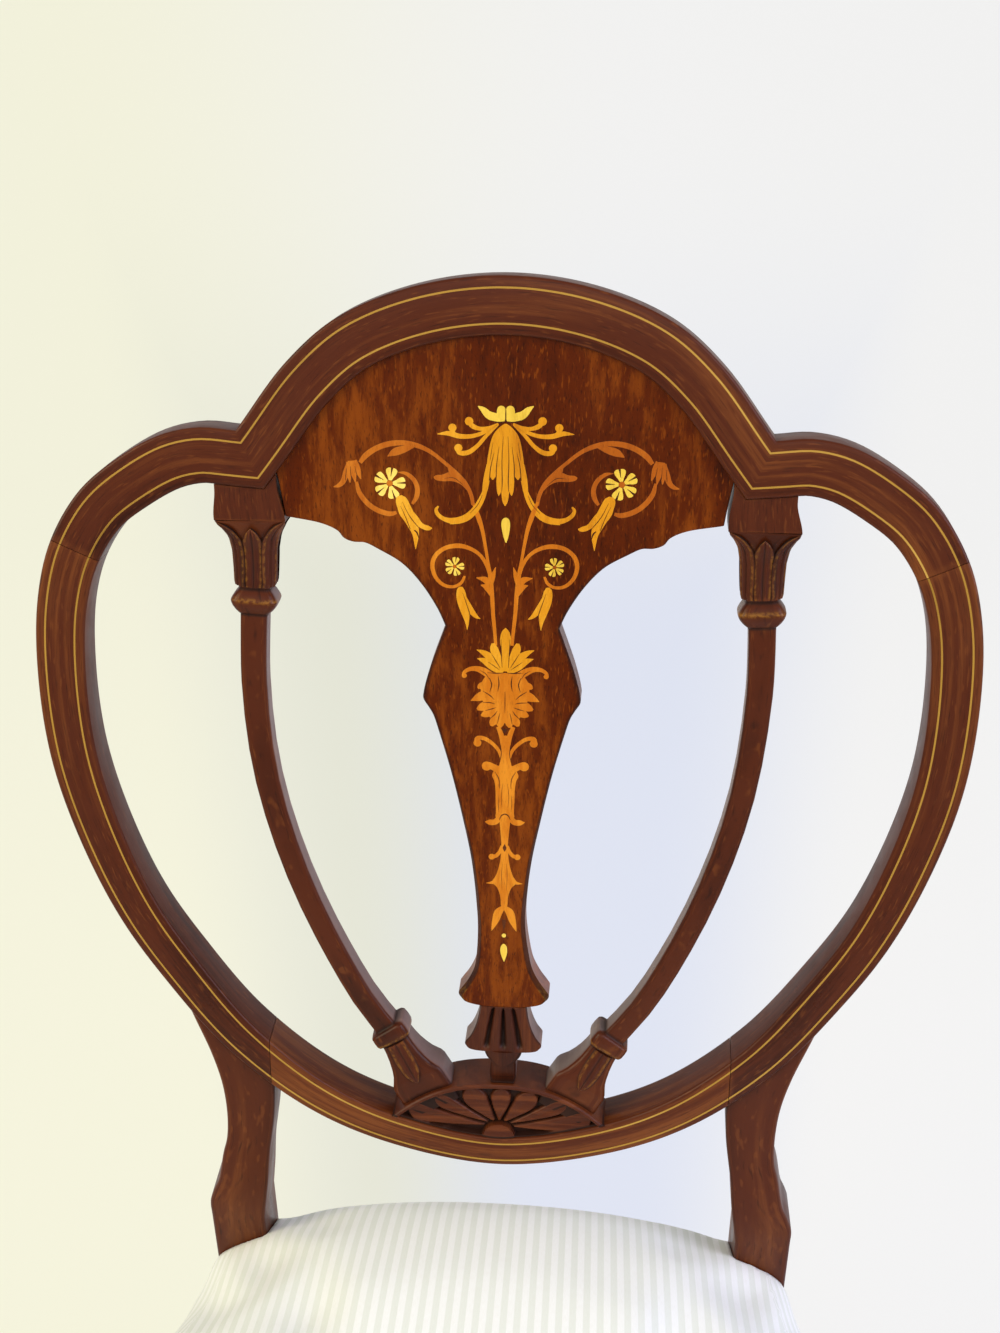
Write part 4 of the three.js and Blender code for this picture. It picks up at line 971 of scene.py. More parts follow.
@dataclass
class RearLegs:
    """The stiles of the shield, the posts through the seat and the swept legs, each side in one piece."""

    shield: ShieldFrame
    post_half: float = 172.0
    post_face: float = 32.0
    post_depth: float = 32.0
    depth_high: float = 25.0
    recess: float = 3.0
    corner: float = 2.5
    foot_half: float = 164.0
    foot_face: float = 27.0
    post_shares: Tuple[Row, ...] = (
        (0.224, 0.748, 0.67), (0.184, 0.719, 0.6), (0.132, 0.681, 0.54), (0.092, 0.661, 0.535),
        (0.05, 0.654, 0.54), (0.019, 0.658, 0.549), (0, 0.668, 0.555), (-0.04, 0.686, 0.5635),
        (-0.058, 0.702, 0.5685), (-0.075, 0.713, 0.574))

    def levels(self) -> Array:
        """Rows of up, outer edge, inner edge and depth of the right post and leg, from the floor up."""
        rise = np.linspace(0, 1, 30)
        face = mix(self.foot_face, self.post_face, rise)
        outer = mix(self.foot_half, self.post_half, rise)
        leg = np.stack([mix(-FORM.base, -FORM.block_drop, rise), outer, outer - face,
                        mix(self.foot_face, self.post_depth, rise)], axis=1)
        block = np.array([[-FORM.settle, self.post_half, self.post_half - self.post_face, self.post_depth]])
        count = len(self.post_shares)
        size = np.array([self.shield.height, self.shield.half, self.shield.half])
        post = np.array(self.post_shares)[::-1] * size
        deep = mix(self.depth_high, self.post_depth, np.arange(count)[::-1] / count)
        rows = np.vstack([block, np.column_stack([post, deep])])
        return np.vstack([leg, spline(rows, 7)])

    def section(self, low: Array, high: Array, deep: Array) -> Array:
        """A rounded rectangle between two edges at every level, as levels by columns of across and deep."""
        turn = np.linspace(0, math.pi / 2, 4)
        level, rise = self.corner * (1 - np.sin(turn)), self.corner * (1 - np.cos(turn))
        low, high, far = low[:, None], high[:, None], (self.recess + deep)[:, None]
        x = np.hstack([low + level[::-1], high - level, high - level[::-1], low + level])
        near = np.broadcast_to(self.recess + rise, (len(low), len(turn)))
        y = np.hstack([near[:, ::-1], near, far - rise[::-1], far - rise])
        return np.stack([x, y], axis=-1)

    def build(self, finishes: Finishes) -> None:
        """Makes both legs and the lines in their stiles."""
        shield = self.shield
        start = shield.joint + shield.gap / shield.shield.length
        run = shield.lower_run(start, shield.share_at(shield.shoe_half - shield.face), 80)
        limits = (shield.shoe_half + shield.gap / 2, shield.half * 2)
        rows = self.levels()
        flat = self.section(rows[:, 2], rows[:, 1], rows[:, 3])
        level = np.broadcast_to(rows[:, :1], flat.shape[:2])
        post = np.stack([flat[..., 0], flat[..., 1], level], axis=-1)
        around = np.linspace(0, 2 * (self.post_face + self.post_depth), flat.shape[1])
        places = np.stack(np.broadcast_arrays(around, rows[:, :1]), axis=-1)
        wood, line = finishes.made["mahogany_rail"], finishes.made["boxwood_line"]
        for side, name in ((1.0, "right"), (-1.0, "left")):
            flip = np.array([side, 1.0, 1.0])
            stile, stile_places = trim(*shield.rail(run), *limits)
            shell = Shell().grid(stile * flip, stile_places, tint=0.6)
            shell.grid(post * flip, places, tint=0.9)
            settle_in(shell.mesh(f"back_leg_{name}"), wood, "mahogany", f"rear_leg_{name}")
            for inner_side, edge in ((False, "outer"), (True, "inner")):
                points, strip_places = trim(*shield.string(run, inner_side), *limits)
                strip = Shell().grid(points * flip, strip_places)
                settle_in(strip.mesh(f"stile_line_{edge}_{name}"), line, "boxwood",
                          f"stile_string_{edge}_{name}")


# Fan lunette


@dataclass
class FanLunette:
    """The carved half-round block at the foot of the splat, with seven petals round a hub."""

    shield: ShieldFrame
    half: float = 61.0
    height: float = 54.6
    end_height: float = 31.0
    power: float = 2.4
    hub_height: float = 18.1
    root: float = 6.4
    depth: float = 26.0
    proud: float = 1.0
    rim: float = 2.9
    rim_round: float = 1.5
    rim_fall: float = 0.8
    edge_slope: float = 0.9
    sink: float = 4.8
    hub: float = 9.6
    hub_off: float = 0.4
    bow: float = 0.0022
    petal_deep: float = 1.5
    petal_fall: float = 1.4
    petal_ridge: float = 0.6
    groove: float = 1.4
    groove_half: float = 0.25
    tip_power: float = 2.3
    columns: int = 221
    rows: int = 84
    petals: Tuple[Row, ...] = ((66.0, 107.5, 26.2, 0.5), (107.5, 147.0, 30.5, 0.6),
                               (147.0, 167.0, 40.5, 0.74), (167.0, 184.0, 52.5, 0.84),
                               (30.0, 66.0, 30.5, 0.6), (11.0, 30.0, 42.0, 0.74), (-7.0, 11.0, 53.0, 0.84))

    def edge(self, across: Array) -> Array:
        """Height of the lunette's upper edge at a distance from the middle."""
        share = 1 - np.abs(across / self.half) ** self.power
        return self.end_height + (self.height - self.end_height) * share

    def relief(self, across: Array, up: Array) -> Array:
        """Depth of the carved front below the frame's front face.

        Inside the rim the ground is sunk. Seven petals fill it side by side, each a sector round a root a
        little above the hub's middle. Their sides stay straight and then close in a rounded tip, and the fan
        bends up with the rail below it. Their edges are rounded off into the grooves between them. The hub is
        half a disc, raised and slightly domed.
        """
        slope = self.edge_slope * np.abs(across / self.half) ** (self.power - 1)
        rim = (self.edge(across) - up) / np.sqrt(1 + slope**2)
        ground = mix(-self.proud, self.sink, ease(rim, self.rim - 0.5, self.rim + 0.4))
        depth = ground + np.where(rim < self.rim, self.rim_fall * (1 - ease(rim, 0.0, self.rim_round)), 0.0)
        off_x = across - self.hub_off
        off_z = up - self.hub_height - self.bow * off_x**2
        round_hub = np.hypot(off_x, off_z)
        reach = np.hypot(off_x, off_z - self.root)
        way = np.degrees(np.arctan2(off_z - self.root, off_x))
        way = np.where(way < -90, way + 360, way)
        clear = (round_hub > self.hub + 1.2) & (rim > self.rim + 0.3)
        for low, high, tip, start in self.petals:
            middle, half = (low + high) / 2, (high - low) / 2
            off = np.abs(way - middle) / half
            share = np.clip(reach / tip, 0, 1)
            close = np.clip((share - start) / (1 - start), 0, 1)
            spare = (np.sqrt(1 - close**self.tip_power) - off) * np.radians(half) * reach
            ridge = self.petal_ridge * np.clip(1 - off, 0, 1) ** 2 * ease(share, 0.2, 0.7)
            face = self.petal_deep + self.petal_fall * (1 - share) ** 2 + ridge
            edge = np.maximum(1 - np.clip(spare - 0.35, 0, 2.0) / 2.0, 0) ** 2
            side = (self.sink - self.petal_deep - 1.6) * (1 - ease(spare, self.groove_half, 0.85))
            depth = np.where((spare > self.groove_half) & clear, face + self.groove * edge + side, depth)
        dome = -0.2 + 0.9 * (round_hub / self.hub) ** 3
        return np.where(round_hub < self.hub - 0.2, dome, depth)

    def build(self, finishes: Finishes) -> None:
        """Makes the block as a net of columns across and rows from its lower edge to its upper one."""
        across = self.half * np.sin(np.linspace(-math.pi / 2, math.pi / 2, self.columns))
        across = mix(np.linspace(-self.half, self.half, self.columns), across, 0.35)
        share = np.linspace(0, 1, self.rows)[:, None]
        x = np.broadcast_to(across, (self.rows, self.columns))
        _, floor, _ = self.shield.lower_run(0.4, 0.6, 200)
        floor = np.interp(across, floor[::-1, 0], floor[::-1, 1]) + self.shield.gap
        z = mix(np.minimum(floor, self.edge(across) - 0.6), self.edge(across), share)
        near_rail = 1 - ease(z - floor, 0.9, 1.5)
        relief = self.relief(x, z)
        face = np.where(near_rail > 0, mix(relief, np.minimum(relief, 1.2), near_rail), relief)
        ring = slab(x, face, self.depth, z)
        places = np.stack([ring[..., 2], ring[..., 0] + ring[..., 1]], axis=-1)
        marks = np.zeros(ring.shape)
        # Painted shade in the sunk ground and grooves, and a painted shadow line along the rail below.
        marks[:, :self.columns, 0] = np.maximum(ease(relief, 2.5, 3.6), near_rail)
        shell = Shell().grid(ring, places, tint=1.4, marks=marks)
        wood = finishes.made["mahogany_carved"]
        settle_in(shell.mesh("fan_block", smooth=50), wood, "mahogany", "fan_lunette")


# Splat


@dataclass
class Splat:
    """The urn-shaped board up the middle of the back. Sizes in millimetres from the shield's lowest point."""

    shield: ShieldFrame
    recess: float = 3.5
    depth: float = 18.0
    bevel: float = 1.2
    chamfer: float = 3.6
    chamfer_top: float = 262.0
    chamfer_low: float = 150.0
    panel_low: float = 382.3
    panel_half: float = 118.0
    housed: float = 0.7
    columns: int = 41
    husk_columns: int = 91
    husk_top: float = 103.0
    husk_low: float = 74.0
    husk_run: float = 27.0
    flute: float = 2.8
    flute_place: float = 5.4
    flute_spread: float = 4.6
    tip_low: float = 64.5
    tip_rise: float = 8.5
    tip_half: float = 10.9
    plinth_high: float = 56.2
    plinth_sink: float = 2.1
    runs: Tuple[Tuple[Row, ...], ...] = (
        ((0.2062, 0.0512), (0.2078, 0.0738), (0.2102, 0.0918), (0.213, 0.1008), (0.2182, 0.105),
         (0.224, 0.0984), (0.2349, 0.0828), (0.2509, 0.0672), (0.2692, 0.06), (0.305, 0.0541), (0.336, 0.057),
         (0.385, 0.068), (0.434, 0.087), (0.487, 0.111), (0.53, 0.135),
         (0.552, 0.149), (0.56, 0.158), (0.57, 0.17), (0.578, 0.169), (0.604, 0.155), (0.637, 0.131),
         (0.649, 0.122)),
        ((0.6495, 0.121), (0.668, 0.138), (0.694, 0.172), (0.715, 0.212), (0.729, 0.26), (0.7365, 0.292),
         (0.7372, 0.316), (0.7405, 0.334), (0.7475, 0.346), (0.7552, 0.379), (0.7624, 0.4545)))
    husk_runs: Tuple[Tuple[Row, ...], ...] = (
        ((0.1096, 0.0303), (0.112, 0.0303), (0.125, 0.0303), (0.1315, 0.0303), (0.1355, 0.037),
         (0.141, 0.0425), (0.147, 0.0445)),
        ((0.1476, 0.047), (0.1488, 0.0717), (0.151, 0.0844), (0.1556, 0.0898), (0.1659, 0.0762),
         (0.1789, 0.0648), (0.1929, 0.0578), (0.2056, 0.0545)))

    @staticmethod
    def lean(up: Array) -> Array:
        """How far the board stands to the right of the middle, which grows towards its foot."""
        return 1.8 * (1 - ease(up, 112.0, 165.0)) + 0.5 * (1 - ease(up, 200.0, 300.0))

    def half_at(self, runs: Tuple[Tuple[Row, ...], ...]) -> Array:
        """Rows of up and half width, dense and smooth between the sharp corners."""
        size = np.array([self.shield.height, self.shield.half])
        return np.vstack([spline(np.array(run) * size, 10) for run in runs])

    def husk_relief(self, across: Array, up: Array) -> Array:
        """How deep the husk is cut: three flutes that spread downward, a rounded tip and a plinth."""
        fall = np.clip((self.husk_top - up) / self.husk_run, 0, 1)
        off = np.abs(across)
        middle = np.exp(-(off / (0.6 + 1.5 * fall)) ** 2) * ease(fall, 0.0, 0.15)
        place = self.flute_place + self.flute_spread * fall**0.8
        outer = np.exp(-((off - place) / (0.9 + 1.0 * fall)) ** 2) * ease(fall, 0.0, 0.1)
        flutes = self.flute * (middle + outer) * ease(up, self.husk_low, self.husk_low + 5)
        lower = np.where(up < self.plinth_high, -2.2, self.plinth_sink)
        plinth = np.where(off < self.tip(up), -1.0 + 0.022 * off**2, lower)
        return np.where(up > self.husk_low, flutes, plinth)

    def tip(self, up: Array) -> Array:
        """Half width of the husk's rounded leaf tip at a height."""
        return self.tip_half * np.sqrt(np.clip((up - self.tip_low) / self.tip_rise, 0, 1))

    def ring(self, x: Array, z: Array, bevel: Array, back_bevel: float = 1.2) -> Array:
        """A closed section of the board for every row.

        Args:
            x: Across, rows by columns, from left to right edge.
            z: Up, rows by columns.
            bevel: How far the front edge is cut back, per row.
            back_bevel: The same for the back edge.

        Returns:
            Points as rows by columns by three.
        """
        wide = np.abs(x[:, -1])
        cut = np.minimum(bevel, wide * 0.45)
        front_x = x * ((wide - cut * 0.55) / wide)[:, None]
        back_x = x * ((wide - back_bevel) / wide)[:, None]
        front = np.stack([front_x, np.full_like(x, self.recess), z], axis=-1)
        back = np.stack([back_x, np.full_like(x, self.recess + self.depth), z], axis=-1)
        near = np.stack([x, np.broadcast_to((self.recess + cut)[:, None], x.shape), z], axis=-1)
        side = near + (0.0, 0.25, 0.0)
        far = np.stack([x, np.full_like(x, self.recess + self.depth - back_bevel), z], axis=-1)
        ring = np.concatenate([near[:, :1], front, near[:, -1:], side[:, -1:], far[:, -1:], back[:, ::-1],
                               far[:, :1], side[:, :1]], axis=1)
        ring[..., 0] += self.lean(ring[..., 2])
        return ring

    def marks(self, points: Array, count: int) -> Array:
        """Painted shade along the front edges of a section, fading out high up, painted gold highlights low
        on the bell's, and a painted sheen on the sides.
        """
        marks = np.zeros(points.shape)
        up = points[:, 0, 2]
        # Painted shade along the front edges, fading out high up.
        shade = 0.85 * (1 - ease(up, 330.0, 400.0))
        marks[:, [0, 1, count, count + 1], 0] = shade[:, None]
        # Painted gold highlights low on the board's front edges, just above the husk.
        gilt_highlight = ease(up, 103.0, 105.0) * (1 - ease(up, 114.0, 119.0))
        marks[:, [0, 1, count, count + 1], 1] = gilt_highlight[:, None]
        # Painted sheen on the board's sides.
        marks[:, [count + 2, count + 3, -2, -1], 2] = 1.0
        return marks

    def build(self, finishes: Finishes) -> None:
        """Makes the board: straight rows up to the panel, then rows that bend until they follow the arch."""
        spread = np.linspace(-1, 1, self.columns)
        rows = self.half_at(self.runs)
        x = rows[:, 1:] * spread
        z = np.broadcast_to(rows[:, :1], x.shape)
        cut = mix(self.chamfer, self.bevel, ease(rows[:, 0], self.chamfer_low, self.chamfer_top))
        lower = self.ring(x, z, cut)
        inner = self.shield.inner_top
        rise = np.linspace(0, 1, 24)[:, None]
        arch = np.interp(self.panel_half * spread, inner[:, 0], inner[:, 1]) - self.shield.gap
        side = np.interp(mix(self.panel_low, arch[-1], rise), (382.0, 395.8, 421.0), (109.5, 112.9, 118.0))
        x = side * spread
        arch = np.interp(x, inner[:, 0], inner[:, 1]) + self.housed
        z = mix(self.panel_low, arch, rise)
        upper = self.ring(x, z, np.full(len(x), 0.7))
        points = np.concatenate([lower, upper])
        places = points[..., [0, 2]]
        shell = Shell().grid(points, places, tint=2.0, marks=self.marks(points, self.columns))
        settle_in(shell.mesh("urn_splat"), finishes.made["mahogany_panel"], "mahogany_panel", "splat")
        self.husk(finishes)

    def husk(self, finishes: Finishes) -> None:
        """Makes the carved husk and the plinth below it, which stands on the lunette."""
        last = self.husk_columns + 1
        rows = self.half_at(self.husk_runs)
        x = rows[:, 1:] * np.linspace(-1, 1, self.husk_columns)
        z = np.broadcast_to(rows[:, :1], x.shape)
        points = self.ring(x, z, np.full(len(x), 1.6))
        relief = self.husk_relief(x, z)
        bell = z > self.husk_low
        points[:, 1:last, 1] += relief * np.where(bell, 1 - (np.abs(x) / np.abs(x[:, -1:])) ** 8, 1)
        points[:, [0, last, last + 1, -1], 1] += np.where(bell[:, :1], 0.0, self.plinth_sink)
        marks = self.marks(points, self.husk_columns) * (1.0, 0.0, 1.0)
        # Painted shade: deeper in the flutes, over the recessed plinth and along the fold of the leaf tip.
        fold = np.abs(np.abs(x) - self.tip(z))
        low = np.maximum(0.9 * (z < self.plinth_high), 0.35 + 0.6 * np.exp(-(fold / 0.8) ** 2) * (z > 63))
        marks[:, 1:last, 0] = np.where(bell, 0.15 + 0.85 * ease(relief, 0.4, 2.0), low)
        shell = Shell().grid(points, points[..., [0, 2]], tint=2.1, marks=marks)
        wood = finishes.made["mahogany_carved"]
        settle_in(shell.mesh("carved_husk", smooth=50), wood, "mahogany_panel", "splat")


# Marquetry


class Veneer(Enum):
    """The veneers of the marquetry, by the finish that each takes."""

    PALE = "veneer_pale"
    GOLD = "veneer_gold"
    ORANGE = "veneer_orange"
    BROWN = "veneer_brown"
    DARK = "veneer_dark"


@dataclass(frozen=True)
class Inlay:
    """One strip of veneer: rows of across, up and half width, smooth between the rows.

    With both, there is a second one mirrored about the ornament's own axis. A higher layer lies on top.
    """

    veneer: Veneer
    rows: Tuple[Row, ...]
    both: bool = True
    layer: int = 0


pale, gold, orange, brown, dark = (partial(Inlay, veneer) for veneer in Veneer)


def disc(across: float, up: float, radius: float) -> Tuple[Row, ...]:
    """Rows of a round inlay, whose half widths follow a half circle."""
    turn = np.linspace(-math.pi / 2, math.pi / 2, 7)
    return tuple((across + radius * math.sin(a), up, radius * max(math.cos(a), 0.08)) for a in turn)


def flower(across: float, up: float, radius: float, turn: float = 0.0) -> List[Inlay]:
    """A flower of five notched petals round a brown eye, with a dark line down each petal.

    Args:
        across: Middle of the flower across.
        up: Middle of the flower up.
        radius: Its radius.
        turn: How far it is turned, in degrees.

    Returns:
        Its inlays.
    """
    parts = []
    for angle in (100, 30, -38, -108, 178):
        way = math.radians(angle + turn)
        run = (math.cos(way), math.sin(way))
        petal = tuple((across + run[0] * radius * r, up + run[1] * radius * r, radius * w) for r, w in
                      ((0.2, 0.1), (0.42, 0.2), (0.66, 0.33), (0.85, 0.36), (0.97, 0.24), (1.0, 0.08)))
        line = tuple((across + run[0] * radius * r, up + run[1] * radius * r, radius * w) for r, w in
                     ((0.45, 0.015), (0.7, 0.035), (1.0, 0.075)))
        parts += [pale(petal), dark(line, layer=3)]
    parts.append(brown(disc(across, up, radius * 0.2), layer=2))
    return parts


def upper_ornament() -> List[Inlay]:
    """Crown, bell, tendrils, scrolls, flowers, pendant bells and stems, right of their axis."""
    return [
        pale(((1.9, 431.3, 1.3), (2.1, 433.5, 2.1), (2.2, 436.5, 2.2), (2.2, 438.4, 1.5), (2.2, 439, 0.4))),
        pale(((1.5, 433, 1.6), (5.5, 433.4, 2.1), (8.5, 434.6, 1.9), (11, 437, 1.4),
              (13.6, 438.8, 0.2)), layer=1),
        dark(((0, 438, 0.15), (0, 434, 0.28), (0, 431, 0.2)), both=False, layer=4),
        dark(((0.6, 430.9, 0.15), (4, 430.9, 0.3), (7.5, 431.8, 0.12)), layer=4),
        gold(((3.6, 430.2, 0.5), (8.4, 428.1, 0.9), (13, 427.8, 1), (16.6, 429.3, 1.2), (18, 431.3, 0.9))),
        gold(disc(18, 431.4, 2.1), layer=1),
        gold(((4.4, 429.9, 0.5), (10, 426.3, 0.9), (16, 424.2, 1), (22.5, 424, 1.2), (28, 425.4, 1.2),
              (33.6, 425.1, 0.2))),
        gold(disc(26.2, 428.2, 2), layer=1),
        gold(((24.5, 424.6, 0.5), (26, 426.4, 1), (26.4, 428.4, 0.8))),
        gold(((3.8, 429.8, 0.5), (9.6, 424.2, 0.9), (14.2, 419, 1), (18.8, 415.9, 1.2), (23, 416, 1.1),
              (23.8, 418.4, 0.9))),
        gold(disc(23.3, 418.2, 2), layer=1),
        gold(((0, 430.2, 0.5), (0, 428.4, 3), (0, 424.4, 6.2), (0, 416.4, 8.3), (0, 408, 9),
              (0, 404.6, 7.4), (0, 403.6, 4)), both=False),
        gold(((0, 406, 3), (0, 398, 2.1), (0, 391.4, 1.3), (0, 389.2, 0.2)), both=False, layer=2),
        gold(((2.6, 406, 2), (2.9, 400, 1.5), (3.1, 396, 0.9), (3.2, 394.4, 0.2)), layer=1),
        gold(((5.6, 408, 2), (6.1, 404.8, 1.7), (6.3, 402.4, 0.3)), layer=1),
        gold(((7.8, 410, 1.5), (9.2, 403, 1.6), (10.2, 396.5, 1.2), (10.8, 392.8, 0.2)), layer=1),
        gold(((8.4, 407, 0.7), (9.9, 397.6, 1.1), (11.9, 392.2, 1.5), (15.2, 386.8, 1.7),
              (19.8, 382.9, 1.8), (25.6, 381.4, 1.6), (30.6, 382.4, 1.1), (33.8, 384.9, 1),
              (34.5, 387.2, 0.8), (33.3, 388.9, 0.4))),
        gold(((21, 382.3, 0.9), (25, 380.7, 0.9), (27.6, 379.8, 0.15)), layer=1),
        *[dark(rows, layer=4) for rows in (
            ((1.2, 424, 0.06), (1.7, 412, 0.16), (1.5, 401, 0.22), (1.7, 396.5, 0.1)),
            ((3.2, 419, 0.06), (4.3, 410, 0.2), (4.6, 402.2, 0.22)),
            ((5.6, 416, 0.06), (7.2, 409, 0.2), (7.9, 402, 0.2)),
            ((6.2, 421, 0.05), (7, 416, 0.12), (7.6, 412, 0.05)),
            ((11.4, 394.6, 0.06), (13.6, 389.8, 0.14), (17.4, 385.4, 0.06)))],
        pale(((0.4, 383.2, 0.5), (0.4, 382.3, 1.6), (0.4, 380, 2.2), (0.5, 376.2, 1.8), (0.6, 372.2, 0.9),
              (0.6, 370.3, 0.15)), both=False),
        brown(((16, 389.6, 0.9), (17, 394.7, 1), (20.1, 401, 1), (24.5, 405.9, 0.9), (30.1, 410.8, 0.9),
               (37, 416.2, 1), (43.3, 419.2, 1.2), (50.8, 420.7, 1.3), (58.3, 420, 1.4), (64.5, 417.7, 1.4),
               (69.5, 414.2, 1.4), (72.2, 410.8, 1))),
        brown(((44.8, 419, 0.3), (50, 417.6, 1.7), (55, 416, 1.8), (58.4, 414, 0.2)), layer=1),
        brown(((75.4, 411.7, 1.7), (73.6, 407.6, 1.6), (72, 402.6, 0.3)), layer=1),
        brown(((76.2, 411.8, 2.2), (75.7, 406.6, 1.7), (74.7, 400.8, 0.3)), layer=2),
        brown(((77.4, 411, 1.6), (77.8, 406.4, 1.5), (77.4, 400.8, 0.3)), layer=1),
        brown(((77.6, 410.6, 1.3), (79.3, 405.8, 1.5), (81, 401.2, 1.3), (83.2, 399.3, 1),
               (85.8, 398.6, 0.2))),
        *[dark(rows, layer=4) for rows in (
            ((74.8, 409, 0.08), (74, 405, 0.16), (73.4, 402.4, 0.1)),
            ((77, 409, 0.08), (76.9, 404.6, 0.16), (76.4, 401.4, 0.1)),
            ((79, 408, 0.08), (79.5, 403.8, 0.16), (79.6, 402, 0.1)))],
        brown(((74.2, 401.2, 0.7), (73, 396, 1.2), (69.8, 391.2, 1.3), (66, 387.9, 1.3), (61.4, 385.7, 1.3),
               (57.2, 384.9, 1.2), (54.4, 385.6, 0.8))),
        brown(((53.3, 406, 0.2), (49.5, 405.4, 0.9), (45.6, 402.3, 1.1), (43.8, 398, 1.2),
               (44.3, 393.6, 1.2), (46.4, 390, 0.7))),
        brown(((18.4, 397.4, 0.8), (21.2, 401, 1.4), (26, 403.9, 2.4), (31, 403.2, 1.7), (34.4, 403.4, 1.2),
               (35.6, 403.6, 0.3)), layer=1),
        brown(((22.6, 401.8, 1.5), (26.6, 406, 1.3), (28.6, 409, 0.2)), layer=2),
        dark(((20.8, 399.6, 0.06), (25.6, 403.2, 0.16), (30.4, 403, 0.05)), layer=4),
        *flower(57.6, 400.4, 7.9),
        gold(((52.6, 394.2, 1), (52.2, 392.6, 2.6), (50.2, 387.4, 3.3), (47, 381, 2.9), (45, 375, 1.8),
              (44.9, 370.4, 0.9), (45, 366.7, 0.15)), layer=1),
        gold(((50, 388.6, 1.4), (45.6, 382.9, 1.8), (41.8, 378.8, 1.3), (38.4, 377.6, 1.2),
              (36.6, 377.6, 0.3)), layer=2),
        gold(((53.4, 391.4, 1.2), (51.8, 385.4, 1.3), (49.4, 380.2, 0.2)), layer=2),
        *[dark(rows, layer=4) for rows in (
            ((51.4, 391, 0.06), (48, 384, 0.18), (44.6, 379.4, 0.18), (43, 377.6, 0.1)),
            ((52.4, 389, 0.06), (49.8, 383, 0.16), (47.6, 377, 0.16)),
            ((45.6, 376.6, 0.25), (44.2, 375.2, 0.4), (43.4, 372.4, 0.12)))],
        orange(((16.2, 391.4, 0.6), (13.6, 384.2, 1.2), (11.5, 377.5, 1), (9.6, 367.5, 0.8),
                (8.4, 360, 0.8), (7.2, 352.5, 1.1), (6.4, 345, 1.1), (5.6, 332, 1), (4.8, 324, 0.9),
                (4.2, 316, 0.8))),
        orange(((6.9, 346, 0.7), (9.2, 350.6, 1.7), (14.2, 352, 0.2)), layer=1),
        orange(((6.6, 342.4, 0.6), (9, 347, 1.5), (12, 348.2, 0.2)), layer=1),
        orange(((7, 347.4, 0.8), (6, 352.4, 1.3), (4.5, 357.6, 0.15)), layer=1),
        orange(((7.2, 352, 0.7), (9.1, 358.6, 0.9), (12.2, 363.6, 0.9), (17.2, 367.1, 1),
                (23.3, 368.6, 1.2), (30, 367.4, 1.1), (35, 363.4, 1.1), (36.6, 358.4, 1.1), (35, 352.2, 1),
                (30.8, 348, 0.9), (25.8, 347.2, 0.8), (22, 349.2, 0.8), (20.2, 352.8, 0.6))),
        *flower(25.3, 357.8, 4.9),
        gold(((22, 347.2, 0.8), (22.2, 345.4, 2), (21.6, 340.4, 2.6), (19.8, 333.4, 2.1), (19, 328.4, 1),
              (18.9, 324.4, 0.15))),
        gold(((20.4, 341, 1.4), (17, 334.6, 1.6), (14.2, 331.4, 0.9), (12.2, 330.2, 0.15)), layer=1),
        dark(((21.2, 344, 0.05), (18.9, 337, 0.18), (17.4, 332.4, 0.18), (16.6, 330.8, 0.08)), layer=4),
    ]


